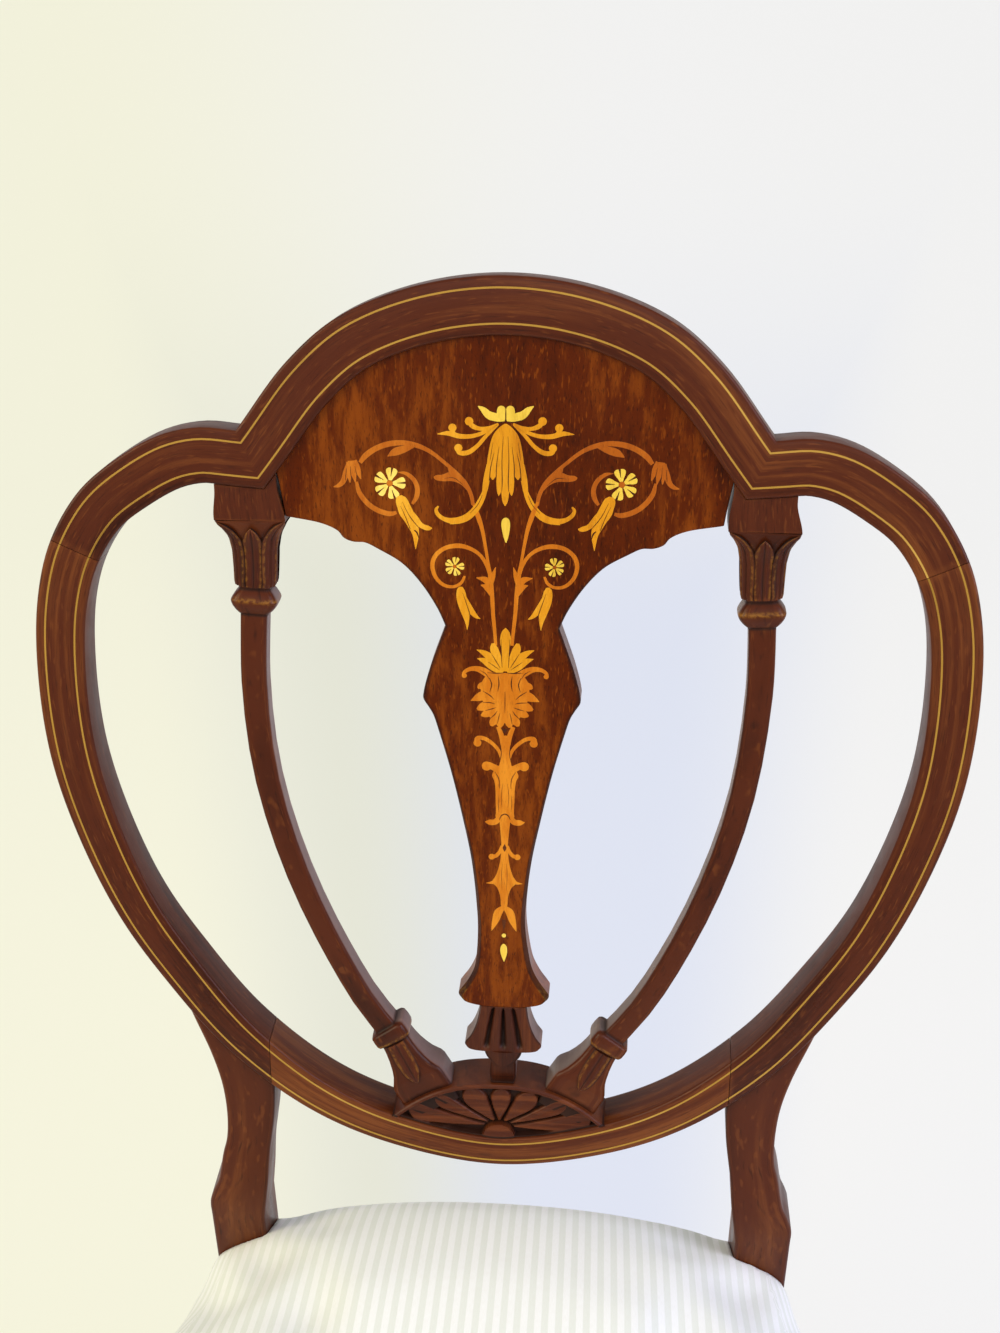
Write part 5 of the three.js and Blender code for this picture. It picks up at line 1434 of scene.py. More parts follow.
def middle_ornament() -> List[Inlay]:
    """The leaf crown and the acanthus flower on the splat's neck, right of their axis."""
    return [
        gold(((0, 302, 1.6), (0, 312, 1.9), (0, 319.6, 2.8), (0, 323.6, 1.8),
              (0, 325.5, 0.2)), both=False, layer=3),
        gold(((1.6, 302, 1.8), (4.2, 309.6, 2.1), (6, 314.6, 2), (6.4, 317.2, 0.8)), layer=2),
        gold(((1.6, 302.6, 1.8), (7, 308.8, 2.2), (11.2, 312, 1.4), (14.8, 313.6, 0.15)), layer=1),
        gold(((1, 301.6, 1.6), (6.2, 304.6, 2.3), (10.8, 307.6, 1.6), (14.5, 308.9, 0.15))),
        *[dark(rows, layer=5) for rows in (
            ((2.3, 319.4, 0.08), (2, 311, 0.2), (1.6, 304, 0.1)),
            ((7.2, 311.6, 0.06), (4.6, 307.2, 0.2), (2.6, 303.8, 0.08)),
            ((8.8, 307, 0.06), (5.4, 304.6, 0.18), (3, 302.8, 0.06)),
            ((0.4, 301.2, 0.1), (4.6, 300.9, 0.25), (9.2, 301.2, 0.08)))],
        orange(((0, 301.2, 6.4), (0, 299.6, 9.4), (0, 296.4, 11.8), (0, 292, 12.6), (0, 287, 12.2),
                (0, 283, 10.6), (0, 279, 9.4), (0, 276, 7.4), (0, 273.4, 3.4)), both=False),
        orange(((7, 299, 2.2), (10.6, 301.6, 2), (14.6, 303.2, 1.5), (18.4, 303, 1.1), (21.2, 301.2, 0.9),
                (21.8, 299.2, 0.8)), layer=1),
        orange(disc(21.2, 299.4, 1.3), layer=1),
        orange(((8, 290, 2.6), (13.6, 287.6, 2.2), (17.8, 285.6, 0.2)), layer=1),
        orange(((8, 294.6, 2.2), (12.6, 293.6, 1.9), (14.2, 292.6, 0.5)), layer=1),
        orange(((7.4, 284.4, 2.6), (12.2, 282, 2.1), (14.6, 280.8, 0.6)), layer=1),
        orange(((6, 280.4, 2.4), (10.4, 278.2, 1.9), (12.4, 277.4, 0.5)), layer=1),
        orange(((3.6, 277, 2.6), (6.2, 273.6, 2), (7, 271.6, 0.7)), layer=1),
        orange(((1.6, 276.6, 1.9), (2.4, 272.8, 1.9), (2.7, 270.8, 0.7)), layer=1),
        *[dark(rows, layer=5) for rows in (
            ((3.6, 299.2, 0.1), (3.2, 295, 0.3), (3.8, 291, 0.1)),
            ((8.2, 298.4, 0.1), (7, 294.6, 0.28), (8, 290.6, 0.1)),
            ((11.4, 291, 0.1), (7.8, 288.6, 0.26), (5.6, 286.4, 0.08)),
            ((11.6, 284.8, 0.1), (7.6, 284.6, 0.26), (5.2, 284, 0.06)),
            ((10.2, 280.2, 0.1), (6.8, 281.2, 0.24), (4.6, 282, 0.06)),
            ((7.4, 276, 0.1), (5.2, 278.2, 0.24), (4, 280.2, 0.06)),
            ((3.8, 273, 0.1), (3.2, 276.4, 0.2), (2.6, 279, 0.06)),
            ((13, 302.4, 0.05), (10.2, 300.6, 0.2), (8.2, 297.6, 0.06)))],
        dark(((0, 290.8, 0.1), (0, 285, 0.2), (0, 279, 0.06)), both=False, layer=5),
        dark(((0, 270.2, 1.5), (0, 268.8, 0.9), (0, 267.6, 0.1)), both=False, layer=5),
    ]


def lower_ornament() -> List[Inlay]:
    """Stem, curls, urn, spearhead, small bell and drops, right of their axis."""
    return [
        orange(((4.1, 271.2, 1), (2.6, 267.6, 1.3), (1.6, 263, 1.3), (1.2, 256, 1.2), (1.6, 249, 1.6))),
        orange(((0, 266.4, 0.6), (0, 262, 2.2), (0, 255, 1.9), (0, 250.4, 2.6), (0, 247.4, 5.2),
                (0, 243.6, 7), (0, 240.4, 5.8), (0, 236, 5.2), (0, 228, 5), (0, 222, 4.8), (0, 219.6, 5),
                (0, 218.8, 3.6)), both=False),
        orange(((1.6, 251.6, 0.6), (3.6, 257.8, 0.9), (7.2, 262, 1), (11.4, 264.6, 1.1), (14.8, 264.6, 1.2),
                (15.8, 262.4, 0.9)), layer=1),
        orange(disc(14.8, 262, 2.1), layer=1),
        orange(((3, 246.2, 2.2), (6.4, 248.4, 1.8), (9.6, 249.6, 1.8), (11.4, 249.8, 0.6)), layer=1),
        orange(disc(9.9, 248.9, 2.6), layer=1),
        orange(((2.6, 219.6, 1.6), (5.2, 216.6, 1.6), (8.4, 216.4, 1.5), (10.6, 216.6, 0.2)), layer=1),
        orange(((0, 220.4, 1.6), (0, 218, 2.7), (0, 211, 2.3), (0, 204, 1.8), (0, 198, 1.9),
                (0, 190.6, 2.9), (0, 184.4, 4.8), (0, 181.6, 6.4), (0, 180, 6.2), (0, 177.6, 4),
                (0, 172.4, 2.2), (0, 167, 1.8), (0, 165.4, 1.4)), both=False, layer=2),
        orange(((3.6, 181.6, 1.5), (7, 180.4, 0.8), (9.9, 180.1, 0.12)), layer=2),
        orange(((1.4, 202.6, 0.8), (2.8, 198.8, 1), (5, 196.4, 1.1), (7, 196.2, 0.9)), layer=1),
        orange(disc(6.9, 196, 1.7), layer=1),
        orange(((0.4, 165.6, 1.2), (3, 162.6, 2.2), (4.6, 157.6, 1.9), (6, 153.4, 0.9),
                (6.8, 151, 0.15)), layer=1),
        dark(((0, 158, 1), (0, 155, 0.8), (0, 151.6, 0.1)), both=False, layer=4),
        dark(((2.9, 218, 0.15), (1.8, 220.4, 0.3), (0, 221.4, 0.35)), layer=5),
        dark(((0, 203.6, 0.1), (0, 201.4, 1), (0, 199.2, 0.1)), both=False, layer=5),
        *[dark(rows, layer=4) for rows in (
            ((2.6, 261, 0.06), (2.2, 256, 0.2), (3, 251, 0.1)),
            ((5.4, 245.6, 0.1), (3.4, 241.6, 0.24), (3, 236, 0.06)),
            ((1.2, 239, 0.05), (2, 232, 0.12), (1.6, 225, 0.05)),
            ((3.4, 232, 0.04), (3.6, 227, 0.12), (3.2, 222.4, 0.04)),
            ((1.1, 192, 0.04), (1.5, 186, 0.12), (1.2, 176, 0.04)))],
        pale(disc(0, 148.2, 1.2), both=False),
        pale(((0, 143, 0.4), (0, 141.8, 1.4), (0, 139.4, 1.9), (0.1, 136, 1.5),
              (0.2, 132, 0.15)), both=False),
    ]


@dataclass
class Marquetry:
    """The inlaid ornament of the splat, as thin strips of veneer let into its face."""

    face: float = 3.5
    proud: float = 0.03
    step: float = 0.012
    thick: float = 0.3
    outline: float = 0.16
    tilt: float = 0.0152
    axes: Row = (1.0, 1.8, 2.3)

    def strip(self, rows: Array, grow: float, lift: float) -> Array:
        """The closed surface of one strip.

        Every section is a flat rectangle across a smooth path, as wide as the rows say.

        Args:
            rows: Across, up and half width.
            grow: How much wider it is drawn.
            lift: How far its face stands out of the splat.

        Returns:
            Points as sections by corners by three.
        """
        steps = 5 if len(rows) > 8 else 7
        path = spline(rows, steps)
        wide = np.maximum(path[:, 2:], 0.02) + grow
        side = left_normals(path) * wide
        left, right = path[:, :2] + side, path[:, :2] - side
        front, back = self.face - lift, self.face + self.thick
        corners = [(right, front), (left, front), (left, back), (right, back)]
        return np.stack([np.column_stack([spot[:, 0], np.full(len(spot), deep), spot[:, 1]])
                         for spot, deep in corners], axis=1)

    def build(self, finishes: Finishes) -> None:
        """Makes one piece of each veneer, and the thin dark seam round all of it.

        The running number of a strip gives it its own tone and a hair of height, so that no two faces
        coincide.

        Args:
            finishes: The chair's finishes.
        """
        shells: Dict[Veneer, Shell] = {veneer: Shell() for veneer in Veneer}
        ornaments = zip(self.axes, (upper_ornament(), middle_ornament(), lower_ornament()))
        number = 0
        for axis, inlays in ornaments:
            for inlay in inlays:
                for side in (1.0, -1.0) if inlay.both else (1.0,):
                    rows = np.array(inlay.rows, float)
                    rows[:, 0] = axis + side * rows[:, 0]
                    rows[:, 1] += self.tilt * (rows[:, 0] - axis)
                    number += 1
                    lift = self.proud + self.step * (inlay.layer + 0.3 * (number % 3))
                    shells[inlay.veneer].grid(self.strip(rows, 0.0, lift), tint=number * 0.37 % 1.0)
                    if inlay.veneer is not Veneer.DARK:
                        shells[Veneer.DARK].grid(self.strip(rows, self.outline, self.proud * 0.5))
        for veneer, shell in shells.items():
            piece = shell.mesh(f"marquetry_{veneer.name.lower()}", smooth=20)
            settle_in(piece, finishes.made[veneer.value], "boxwood")


# Curved bars


@dataclass
class CurvedBars:
    """The two bars from lunette to crest rail, with carved feet, rings, leaf capitals and blocks."""

    shield: ShieldFrame
    lunette: FanLunette
    middle: float = 13.0
    line_shares: Tuple[Row, ...] = (
        (0.151, 0.07), (0.178, 0.094), (0.218, 0.128), (0.257, 0.161), (0.313, 0.2), (0.358, 0.24),
        (0.4315, 0.319), (0.4875, 0.399), (0.5245, 0.479), (0.5435, 0.579), (0.542, 0.639), (0.534, 0.703),
        (0.535, 0.812))
    sections: Tuple[Row, ...] = (
        (-0.03, 32.5, 22, 9), (0.0, 32.5, 22, 9), (0.022, 32, 22, 9), (0.028, 30.8, 22, 8),
        (0.033, 28.4, 21.6, 8), (0.041, 25, 21, 7), (0.052, 22, 20, 6.5), (0.066, 19.4, 18.8, 6),
        (0.08, 17.8, 17.4, 6), (0.0925, 17, 16.6, 6), (0.094, 18.6, 18, 6), (0.0955, 20.4, 20, 6),
        (0.099, 21.4, 20.8, 6), (0.107, 21.6, 21, 6), (0.1145, 21.2, 20.6, 6), (0.1172, 19.6, 19.2, 6),
        (0.1185, 15, 16.4, 6), (0.1205, 13, 15.2, 7), (0.14, 12.7, 15, 7), (0.3, 12.6, 15, 7),
        (0.5, 12.9, 15, 7), (0.7, 13.7, 15, 7), (0.79, 14, 15.2, 7), (0.7965, 14.2, 15.6, 6),
        (0.7985, 16.6, 17.4, 5), (0.8025, 19.6, 19.2, 5), (0.808, 22.6, 21.2, 5), (0.8125, 24, 22.2, 5),
        (0.815, 24.4, 22.4, 5), (0.8172, 24, 22.2, 5), (0.822, 22, 20.6, 5), (0.827, 19.4, 18.8, 5),
        (0.8305, 16.8, 17, 5), (0.8325, 16.2, 16, 5), (0.8355, 17.6, 16.8, 5), (0.842, 18.6, 17.2, 5),
        (0.86, 18.6, 17, 5), (0.885, 19.2, 17.2, 5), (0.903, 21.6, 18.4, 5), (0.916, 26, 20.2, 6),
        (0.9235, 31.5, 21.4, 8), (0.9265, 35.2, 22, 14), (0.9285, 36, 22, 40))
    folds: Row = (0.0925, 0.1205, 0.7965, 0.8325)
    # Shares and spreads of painted gold highlights round the ring's ridge and the collar.
    gilt_highlight_rings: Tuple[Row, ...] = ((0.8175, 0.0028), (0.098, 0.002))
    columns: int = 48
    capital_low: float = 0.836
    block_start: float = 0.929
    block_low: float = 36.0
    block_high: float = 31.0
    block_depth: float = 22.0
    leaf_columns: int = 15
    leaf_arch: float = 1.5
    leaf_groove: float = 0.9
    leaf_vein: float = 0.45
    leaf_root: float = 1.6

    def __post_init__(self) -> None:
        """Works out the middle line and how far up it the bar leaves the lunette."""
        size = np.array([self.shield.half, self.shield.height])
        self.line = spline(np.array(self.line_shares) * size, 30)
        run = np.concatenate([[0], np.cumsum(np.linalg.norm(np.diff(self.line, axis=0), axis=1))])
        below = self.line[:, 1] < self.lunette.edge(self.line[:, 0])
        self.start = float(run[np.argmin(below)] / run[-1])
        self.length = float(run[-1])

    def at(self, share: Array) -> Tuple[Array, Array]:
        """Middle points and directions across the bar at shares of its length above the lunette."""
        whole = mix(self.start, 1.0, share)
        middle = along(self.line, whole)
        run = along(self.line, np.clip(whole + 2e-3, 0, 1)) - along(self.line, np.clip(whole - 2e-3, 0, 1))
        side = np.stack([run[:, 1], -run[:, 0]], axis=1)
        return middle, side / np.linalg.norm(side, axis=1, keepdims=True)

    def leaf(self, shares: Array, off: Array, deep: Array, wide: Array, facing: float, curl: Array) -> Array:
        """A carved leaf that lies on the bar.

        It runs along a line given by its place across and deep at shares up the bar. Across, its surface is
        a low arch with a groove down the middle and a finer one to each side.

        Args:
            shares: Shares of the bar's length above the lunette.
            off: Place across from the bar's middle line.
            deep: Place in depth from the bar's middle.
            wide: Half widths.
            facing: Which way the leaf faces, in degrees from the front towards the right.
            curl: How far its line stands out of the bar.

        Returns:
            The closed leaf as rows by columns by three.
        """
        middle, side = self.at(shares)
        turn = math.radians(facing)
        out = np.array([math.sin(turn), -math.cos(turn)])
        flat = np.array([math.cos(turn), math.sin(turn)])
        t = np.linspace(-1, 1, self.leaf_columns)
        crest = self.leaf_arch * np.cos(t * math.pi / 2) ** 0.7 - self.leaf_groove * np.exp(-(t / 0.17) ** 2)
        crest -= self.leaf_vein * np.exp(-((np.abs(t) - 0.52) / 0.12) ** 2)
        fade = np.minimum(wide / wide.max() * 1.4, 1)[:, None]
        top = curl[:, None] + crest * fade
        across = off[:, None] + wide[:, None] * t * flat[0] + out[0] * top
        back = deep[:, None] + wide[:, None] * t * flat[1] + out[1] * top
        under_across = off[:, None] + wide[:, None] * t * flat[0] * 0.9 - out[0] * self.leaf_root
        under_back = deep[:, None] + wide[:, None] * t * flat[1] * 0.9 - out[1] * self.leaf_root
        across = np.hstack([across, under_across[:, ::-1]])
        back = np.hstack([back, under_back[:, ::-1]])
        return np.stack([middle[:, :1] + side[:, :1] * across, self.middle + back,
                         middle[:, 1:] + side[:, 1:] * across], axis=-1)

    def leaves(self) -> List[Array]:
        """The leaves of the right bar's capital and foot.

        Four stand on the capital's faces and four on its corners, where they spread to the block. Two hang
        on the foot's front and back.
        """
        low, turns = self.capital_low, (0.0, 180.0)
        rise = np.linspace(low, 0.919, 16)
        wide, deep = self.halves(rise)
        taper = np.interp(rise, (low, 0.85, 0.88, 0.9, 0.911, 0.917, 0.919),
                          (4.4, 5.0, 5.4, 5.0, 3.4, 1.3, 0.2))
        curl = 0.2 + 2.6 * ease(rise, 0.885, 0.919)
        zero = np.zeros_like(rise)
        parts = [self.leaf(rise, zero, side * deep, taper, turn, curl) for side, turn in zip((-1, 1), turns)]
        parts += [self.leaf(rise, side * wide, zero, taper, side * 90.0, curl * 0.4) for side in (1, -1)]
        high = np.linspace(low, 0.9275, 18)
        wide, deep = self.halves(high)
        taper = np.interp(high, (low, 0.86, 0.9, 0.915, 0.9235, 0.9275), (4.0, 4.6, 4.9, 4.2, 2.8, 0.3))
        curl = -1.6 + 1.9 * ease(high, 0.9, 0.925)
        for right in (1, -1):
            for back, turn in ((1, 140.0), (-1, 40.0)):
                off, depth = right * (wide - 0.6), back * (deep - 0.6)
                parts.append(self.leaf(high, off, depth, taper, right * turn, curl))
        fall = np.linspace(0.091, 0.022, 14)
        wide, deep = self.halves(fall)
        taper = np.interp(fall, (0.022, 0.028, 0.04, 0.06, 0.088), (0.3, 2.6, 5.2, 6.0, 5.6))
        curl = 0.1 + 0.9 * ease(fall, 0.05, 0.022)
        return parts + [self.leaf(fall, np.zeros_like(fall), side * deep, taper, turn, curl)
                        for side, turn in zip((-1, 1), turns)]

    def leaf_marks(self, leaf: Array) -> Array:
        """Painted shade on the edges, in the groove and on the underside, and painted gold highlights beside
        the edges.
        """
        edge = np.abs(np.linspace(-1, 1, self.leaf_columns))
        marks = np.zeros(leaf.shape)
        marks[:, :self.leaf_columns, 0] = np.maximum(ease(edge, 0.86, 1.0), 0.7 * np.exp(-(edge / 0.1) ** 2))
        marks[:, :self.leaf_columns, 1] = 0.4 * np.exp(-((edge - 0.76) / 0.12) ** 2)
        marks[:, self.leaf_columns:, 0] = 1.0
        return marks

    def halves(self, shares: Array) -> Tuple[Array, Array]:
        """Half the bar's width and half its depth at shares of its length."""
        table = np.array(self.sections)
        return tuple(np.interp(shares, table[:, 0], table[:, i]) / 2 for i in (1, 2))

    def surface(self) -> Tuple[Array, Array, Array]:
        """The right bar's surface up to its block, its surface coordinates and its marks.

        Every section is a superellipse: a circle's cosine and sine raised to a power below one, so that it
        goes from round to square.
        """
        table = np.array(self.sections)
        dense = np.unique(np.concatenate([np.linspace(a, b, 5 if b - a > 0.006 else 3)
                                          for a, b in zip(table[:-1, 0], table[1:, 0])]))
        wide, deep, power = (np.interp(dense, table[:, 0], table[:, i])[:, None] for i in (1, 2, 3))
        turn = (np.arange(self.columns) + 0.5) / self.columns * 2 * math.pi
        flat_x = np.sign(np.cos(turn)) * np.abs(np.cos(turn)) ** (2 / power)
        flat_y = np.sign(np.sin(turn)) * np.abs(np.sin(turn)) ** (2 / power)
        middle, side = self.at(dense)
        across = flat_x * wide / 2
        points = np.stack([middle[:, :1] + side[:, :1] * across, self.middle + flat_y * deep / 2,
                           middle[:, 1:] + side[:, 1:] * across], axis=-1)
        places = np.stack(np.broadcast_arrays(turn * 8, dense[:, None] * self.length), axis=-1)
        # Painted shade in the creases of the rings and where the foot meets the lunette.
        near = np.min([np.abs(dense - fold) for fold in self.folds], axis=0)[:, None]
        low = points[..., 2] - self.lunette.edge(points[..., 0])
        foot = (1 - ease(low, 0.6, 2.0)) * (dense[:, None] < 0.1)
        hollow_shade = np.maximum(0.85 * (1 - ease(near, 0.0008, 0.0035)), foot)
        # Painted gold highlights along the ridges of the ring and the collar.
        gilt_highlight = sum(np.exp(-((dense[:, None] - share) / spread) ** 2) for share, spread in self.gilt_highlight_rings)
        # Painted sheen down one side of the bar.
        highlighted = np.clip((-flat_x - 0.97) / 0.02, 0, 1) * np.ones_like(dense)[:, None]
        return points, places, np.stack(np.broadcast_arrays(hollow_shade, 0.55 * gilt_highlight, highlighted), axis=-1)

    @staticmethod
    def nudge(points: Array, side: float) -> Array:
        """Sets a bar where it stands in the uneven frame: both lie a little to the right."""
        points = points * (side, 1.0, 1.0)
        up = points[..., 2]
        shift = 1.5 if side > 0 else mix(0.3, 1.7, ease(up, 250.0, 330.0))
        points[..., 0] += shift * ease(up, 75.0, 125.0) * (1 - ease(up, 372.0, 395.0))
        return points

    def block(self) -> Tuple[Array, Array]:
        """The square block on top, whose upper end follows the frame's inner edge with a joint's gap."""
        rise = np.linspace(0, 1, 14)[:, None]
        inner = self.shield.inner_top
        middle, side = self.at(np.array([self.block_start, 1.0]))
        turn = np.linspace(-1, 1, 33)
        half = mix(self.block_low, self.block_high, ease(rise, 0.0, 0.85)) / 2
        centre = mix(middle[:1, 0], middle[1:, 0], rise)
        x = centre + half * turn
        top = np.interp(x, inner[:, 0], inner[:, 1]) - self.shield.gap
        z = mix(middle[0, 1] - side[0, 1] * half * turn * 0.5, top, rise)
        points = slab(x, self.middle - self.block_depth / 2, self.middle + self.block_depth / 2, z)
        return points, points[..., [0, 2]]

    def build(self, finishes: Finishes) -> None:
        """Makes both bars."""
        points, places, marks = self.surface()
        top, top_places = self.block()
        leaves = self.leaves()
        plain, carved = finishes.made["mahogany_rail"], finishes.made["mahogany_carved"]
        for side, name in ((1.0, "right"), (-1.0, "left")):
            shell = Shell().grid(self.nudge(points, side), places, tint=2.4 + side * 0.2, marks=marks)
            shell.grid(self.nudge(top, side), top_places, tint=2.5)
            settle_in(shell.mesh(f"curved_bar_{name}", smooth=48), plain, "mahogany", f"bar_{name}")
            shell = Shell()
            for leaf in leaves:
                shell.grid(self.nudge(leaf, side), leaf[..., [0, 2]], tint=2.7, marks=self.leaf_marks(leaf))
            settle_in(shell.mesh(f"bar_leaves_{name}", smooth=60), carved, "mahogany", f"bar_{name}")


# Seat


@dataclass
class Seat:
    """The stuffed seat with its striped satin cover, and the webbing, hessian and bottom cloth under it."""

    front: float = -260.6
    back: float = 169.4
    front_half: float = 245.0
    rear_half: float = 165.0
    corner: float = 14.0
    open_corner: float = 0.92
    open_power: float = 24.0
    low: float = 334.0
    pad_low: float = 397.8
    roll: float = 44.0
    roll_power: float = 12.0
    crown: float = 16.0
    corner_run: float = 80.0
    proud: float = 2.6
    lap: float = 6.0
    dip_low: float = 393.0
    dip_start: float = 165.0
    dip_side: float = 0.78
    dip_back: float = 0.87
    dip_rise: float = 42.0
    dip_run: float = 118.0
    dip_right: float = 6.0
    dip_soft: float = 2.5
    seam: float = 1.4
    post_front: float = 137.4
    post_inner: float = 140.0
    fit: float = 0.4
    room: Tuple[Row, ...] = ((314.0, -1.5), (385.8, -1.5), (396.8, -7.0))
    net: float = 5.6
    most_move: float = 4.5
    frames: int = 20
    pressure: float = 4.0
    smoothing: int = 14
    web_thick: float = 1.8
    web_low: float = 392.3
    cross_low: float = 394.4
    web_count: int = 4
    web_front: float = 46.0
    web_rear: float = 50.0
    rail: float = 22.0
    cloth_half: float = 0.4

    def half(self, y: Array) -> Array:
        """Half width of the seat at a place from front to back."""
        return mix(self.front_half, self.rear_half, (y - self.front) / (self.back - self.front))

    def outline(self, offset: float, share: float, count: int = 30) -> Array:
        """The seat's outline as a trapezoid with curved corners, drawn in towards its middle.

        Args:
            offset: How far it is grown outward.
            share: How far it is drawn in, from 1 at the edge to 0 in the middle.
            count: Points along each side and corner.

        Returns:
            Points round the outline.
        """
        slope = math.atan2(self.front_half - self.rear_half, self.back - self.front)
        front, back = self.front - offset, self.back + offset
        spare = offset / math.cos(slope)
        front_half, back_half = self.half(front) + spare, self.half(back) + spare
        middle = np.array([0.0, (self.front + self.back) / 2])
        corners = np.array([(-front_half, front), (front_half, front), (back_half, back), (-back_half, back)])
        corners = mix(middle, corners, share)
        reach = mix(self.open_corner * self.rear_half * share, self.corner + offset, share**self.open_power)
        rows = []
        for i in range(4):
            here, before, after = corners[i], corners[i - 1], corners[(i + 1) % 4]
            enter = here + (before - here) / np.linalg.norm(before - here) * reach
            leave = here + (after - here) / np.linalg.norm(after - here) * reach
            t = np.linspace(0, 1, count // 2)[:, None]
            rows.append(enter * (1 - t) ** 2 + 2 * here * t * (1 - t) + leave * t**2)
            ahead = after + (here - after) / np.linalg.norm(here - after) * reach
            rows.append(mix(leave, ahead, np.linspace(0, 1, count + 1)[1:-1, None]))
        return np.vstack(rows)

    def height(self, x: Array, y: Array, share: Array) -> Array:
        """Height of the pad at a place, from how far in from its edge it is."""
        thick = self.roll * np.sqrt(1 - share**self.roll_power) + self.crown * (1 - share**2)
        near = np.clip(1 - (self.back - y) / self.corner_run, 0, None)
        full = self.pad_low + thick * (1 - (near * x / self.rear_half) ** 2)
        wide = np.abs(x)
        beside = self.dip_side * (self.half(y) - wide)
        behind = self.dip_back * (self.dip_start - y) + self.dip_side * (self.post_inner - wide)
        lift = self.dip_rise * (1 - ease(y, 0, self.dip_run))
        dip = self.dip_low + np.where(y < self.post_front, beside, behind) + lift
        dip = np.maximum(dip + self.dip_right * ease(x, 60, 170), self.pad_low - self.seam)
        return -self.dip_soft * np.logaddexp(-full / self.dip_soft, -dip / self.dip_soft)

    def body(self) -> Shell:
        """The covered pad: its top from the middle outward, then its sides down to the rails' lower edge."""
        shares = np.concatenate([np.linspace(0.02, 0.8, 26), 1 - np.geomspace(0.2, 0.0012, 26)[1:], [1.0]])
        rings = []
        for share in shares:
            flat = self.outline(self.proud, float(share))
            rings.append(np.column_stack([flat, self.height(flat[:, 0], flat[:, 1], share) + self.proud]))
        edge = self.outline(self.proud, 1.0)
        top = rings[-1][:, 2]
        for drop in np.linspace(0, 1, 16)[1:]:
            rings.append(np.column_stack([edge, mix(top, self.low - self.lap, drop)]))
        points = np.stack(rings)
        return Shell().grid(points, points[..., :2])

    def hollow_under(self, piece: Piece) -> None:
        """Cuts the rails' room out of the cover, so that it hangs outside them and lies on the hessian."""
        rings = []
        for level, offset in self.room:
            flat = self.outline(offset, 0.995)
            rings.append(np.column_stack([flat, np.full(len(flat), level)]))
        points = np.stack(rings)
        room = Shell().grid(points, points[..., :2]).mesh("rail_room", bend=False)
        cut = piece.modifiers.new("rails", "BOOLEAN")
        cut.operation = "DIFFERENCE"
        cut.object = room
        self.keep_shape(piece)
        bpy.data.objects.remove(room)
        smooth_edges(piece, 60)

    def cut_round_posts(self, piece: Piece) -> None:
        """Fits the cover round the posts: what lies inside one moves to its front or inner face."""
        spots = spots_of(piece.data) / MM
        side = np.sign(spots[:, 0])
        x, y = np.abs(spots[:, 0]), spots[:, 1]
        front, inner = self.post_front - self.fit, self.post_inner - self.fit
        into_front, into_side = y - front, x - inner
        inside = (into_front > 0) & (into_side > 0)
        forward = inside & (into_front < into_side)
        spots[:, 1] = np.where(forward, front, y)
        spots[:, 0] = np.where(inside & ~forward, side * inner, spots[:, 0])
        put_spots(piece.data, spots * MM)

    @staticmethod
    def keep_shape(piece: Piece) -> None:
        """Turns what the piece's modifiers make into its mesh."""
        shaped = bpy.data.meshes.new_from_object(piece.evaluated_get(bpy.context.evaluated_depsgraph_get()))
        old, piece.data = piece.data, shaped
        piece.modifiers.clear()
        bpy.data.meshes.remove(old)
        shaped.name = piece.name

    def inflate(self, piece: Piece) -> None:
        """Puffs the cover by a short cloth simulation, held at its lower edge, and keeps its movement small.

        The cover first gets an even net of small faces, and at the end each of them is divided once.
        """
        net = piece.modifiers.new("even", "REMESH")
        net.mode = "VOXEL"
        net.voxel_size = self.net * MM
        net.use_smooth_shade = True
        self.keep_shape(piece)
        start = spots_of(piece.data)
        pin = piece.vertex_groups.new(name="tacked")
        pin.add(np.flatnonzero(start[:, 2] < (self.pad_low - 4) * MM).tolist(), 1.0, "REPLACE")
        cloth = piece.modifiers.new("stuffing", "CLOTH")
        cloth.point_cache.frame_end = self.frames
        settings = cloth.settings
        settings.effector_weights.gravity = 0.0
        for key, value in {"quality": 6, "mass": 0.3, "tension_stiffness": 18, "compression_stiffness": 14,
                           "shear_stiffness": 8, "bending_stiffness": 12, "use_pressure": True,
                           "uniform_pressure_force": self.pressure, "vertex_group_mass": pin.name}.items():
            setattr(settings, key, value)
        for step in range(1, self.frames + 1):
            bpy.context.scene.frame_set(step)
        evaluated = piece.evaluated_get(bpy.context.evaluated_depsgraph_get())
        move = spots_of(evaluated.to_mesh()) - start
        evaluated.to_mesh_clear()
        size = np.linalg.norm(move, axis=1, keepdims=True)
        move *= np.minimum(1, self.most_move * MM / np.maximum(size, 1e-9))
        piece.modifiers.remove(cloth)
        piece.vertex_groups.remove(pin)
        bpy.context.scene.frame_set(1)
        put_spots(piece.data, start + move)
        calm = piece.modifiers.new("calm", "SMOOTH")
        calm.factor = 0.5
        calm.iterations = self.smoothing
        fine = piece.modifiers.new("fine", "SUBSURF")
        fine.levels = fine.render_levels = 1
        self.keep_shape(piece)

    def lay_stripes(self, piece: Piece) -> None:
        """Surface coordinates of the cover: across along its unrolled width, and from front to back.

        Over the top, across is x. Down the sides it runs on with the drop below the roll, so that the stripes
        keep their width.
        """
        x, y, z = spots_of(piece.data).T
        limit = self.half(y / MM) * MM - 0.012
        over = np.clip(np.abs(x) - limit, 0, None)
        side = np.clip((self.pad_low + self.roll * 0.55) * MM - z, 0, None) * (over > 0)
        lay_surface(piece.data, np.stack([x + np.sign(x) * side, y], axis=1))

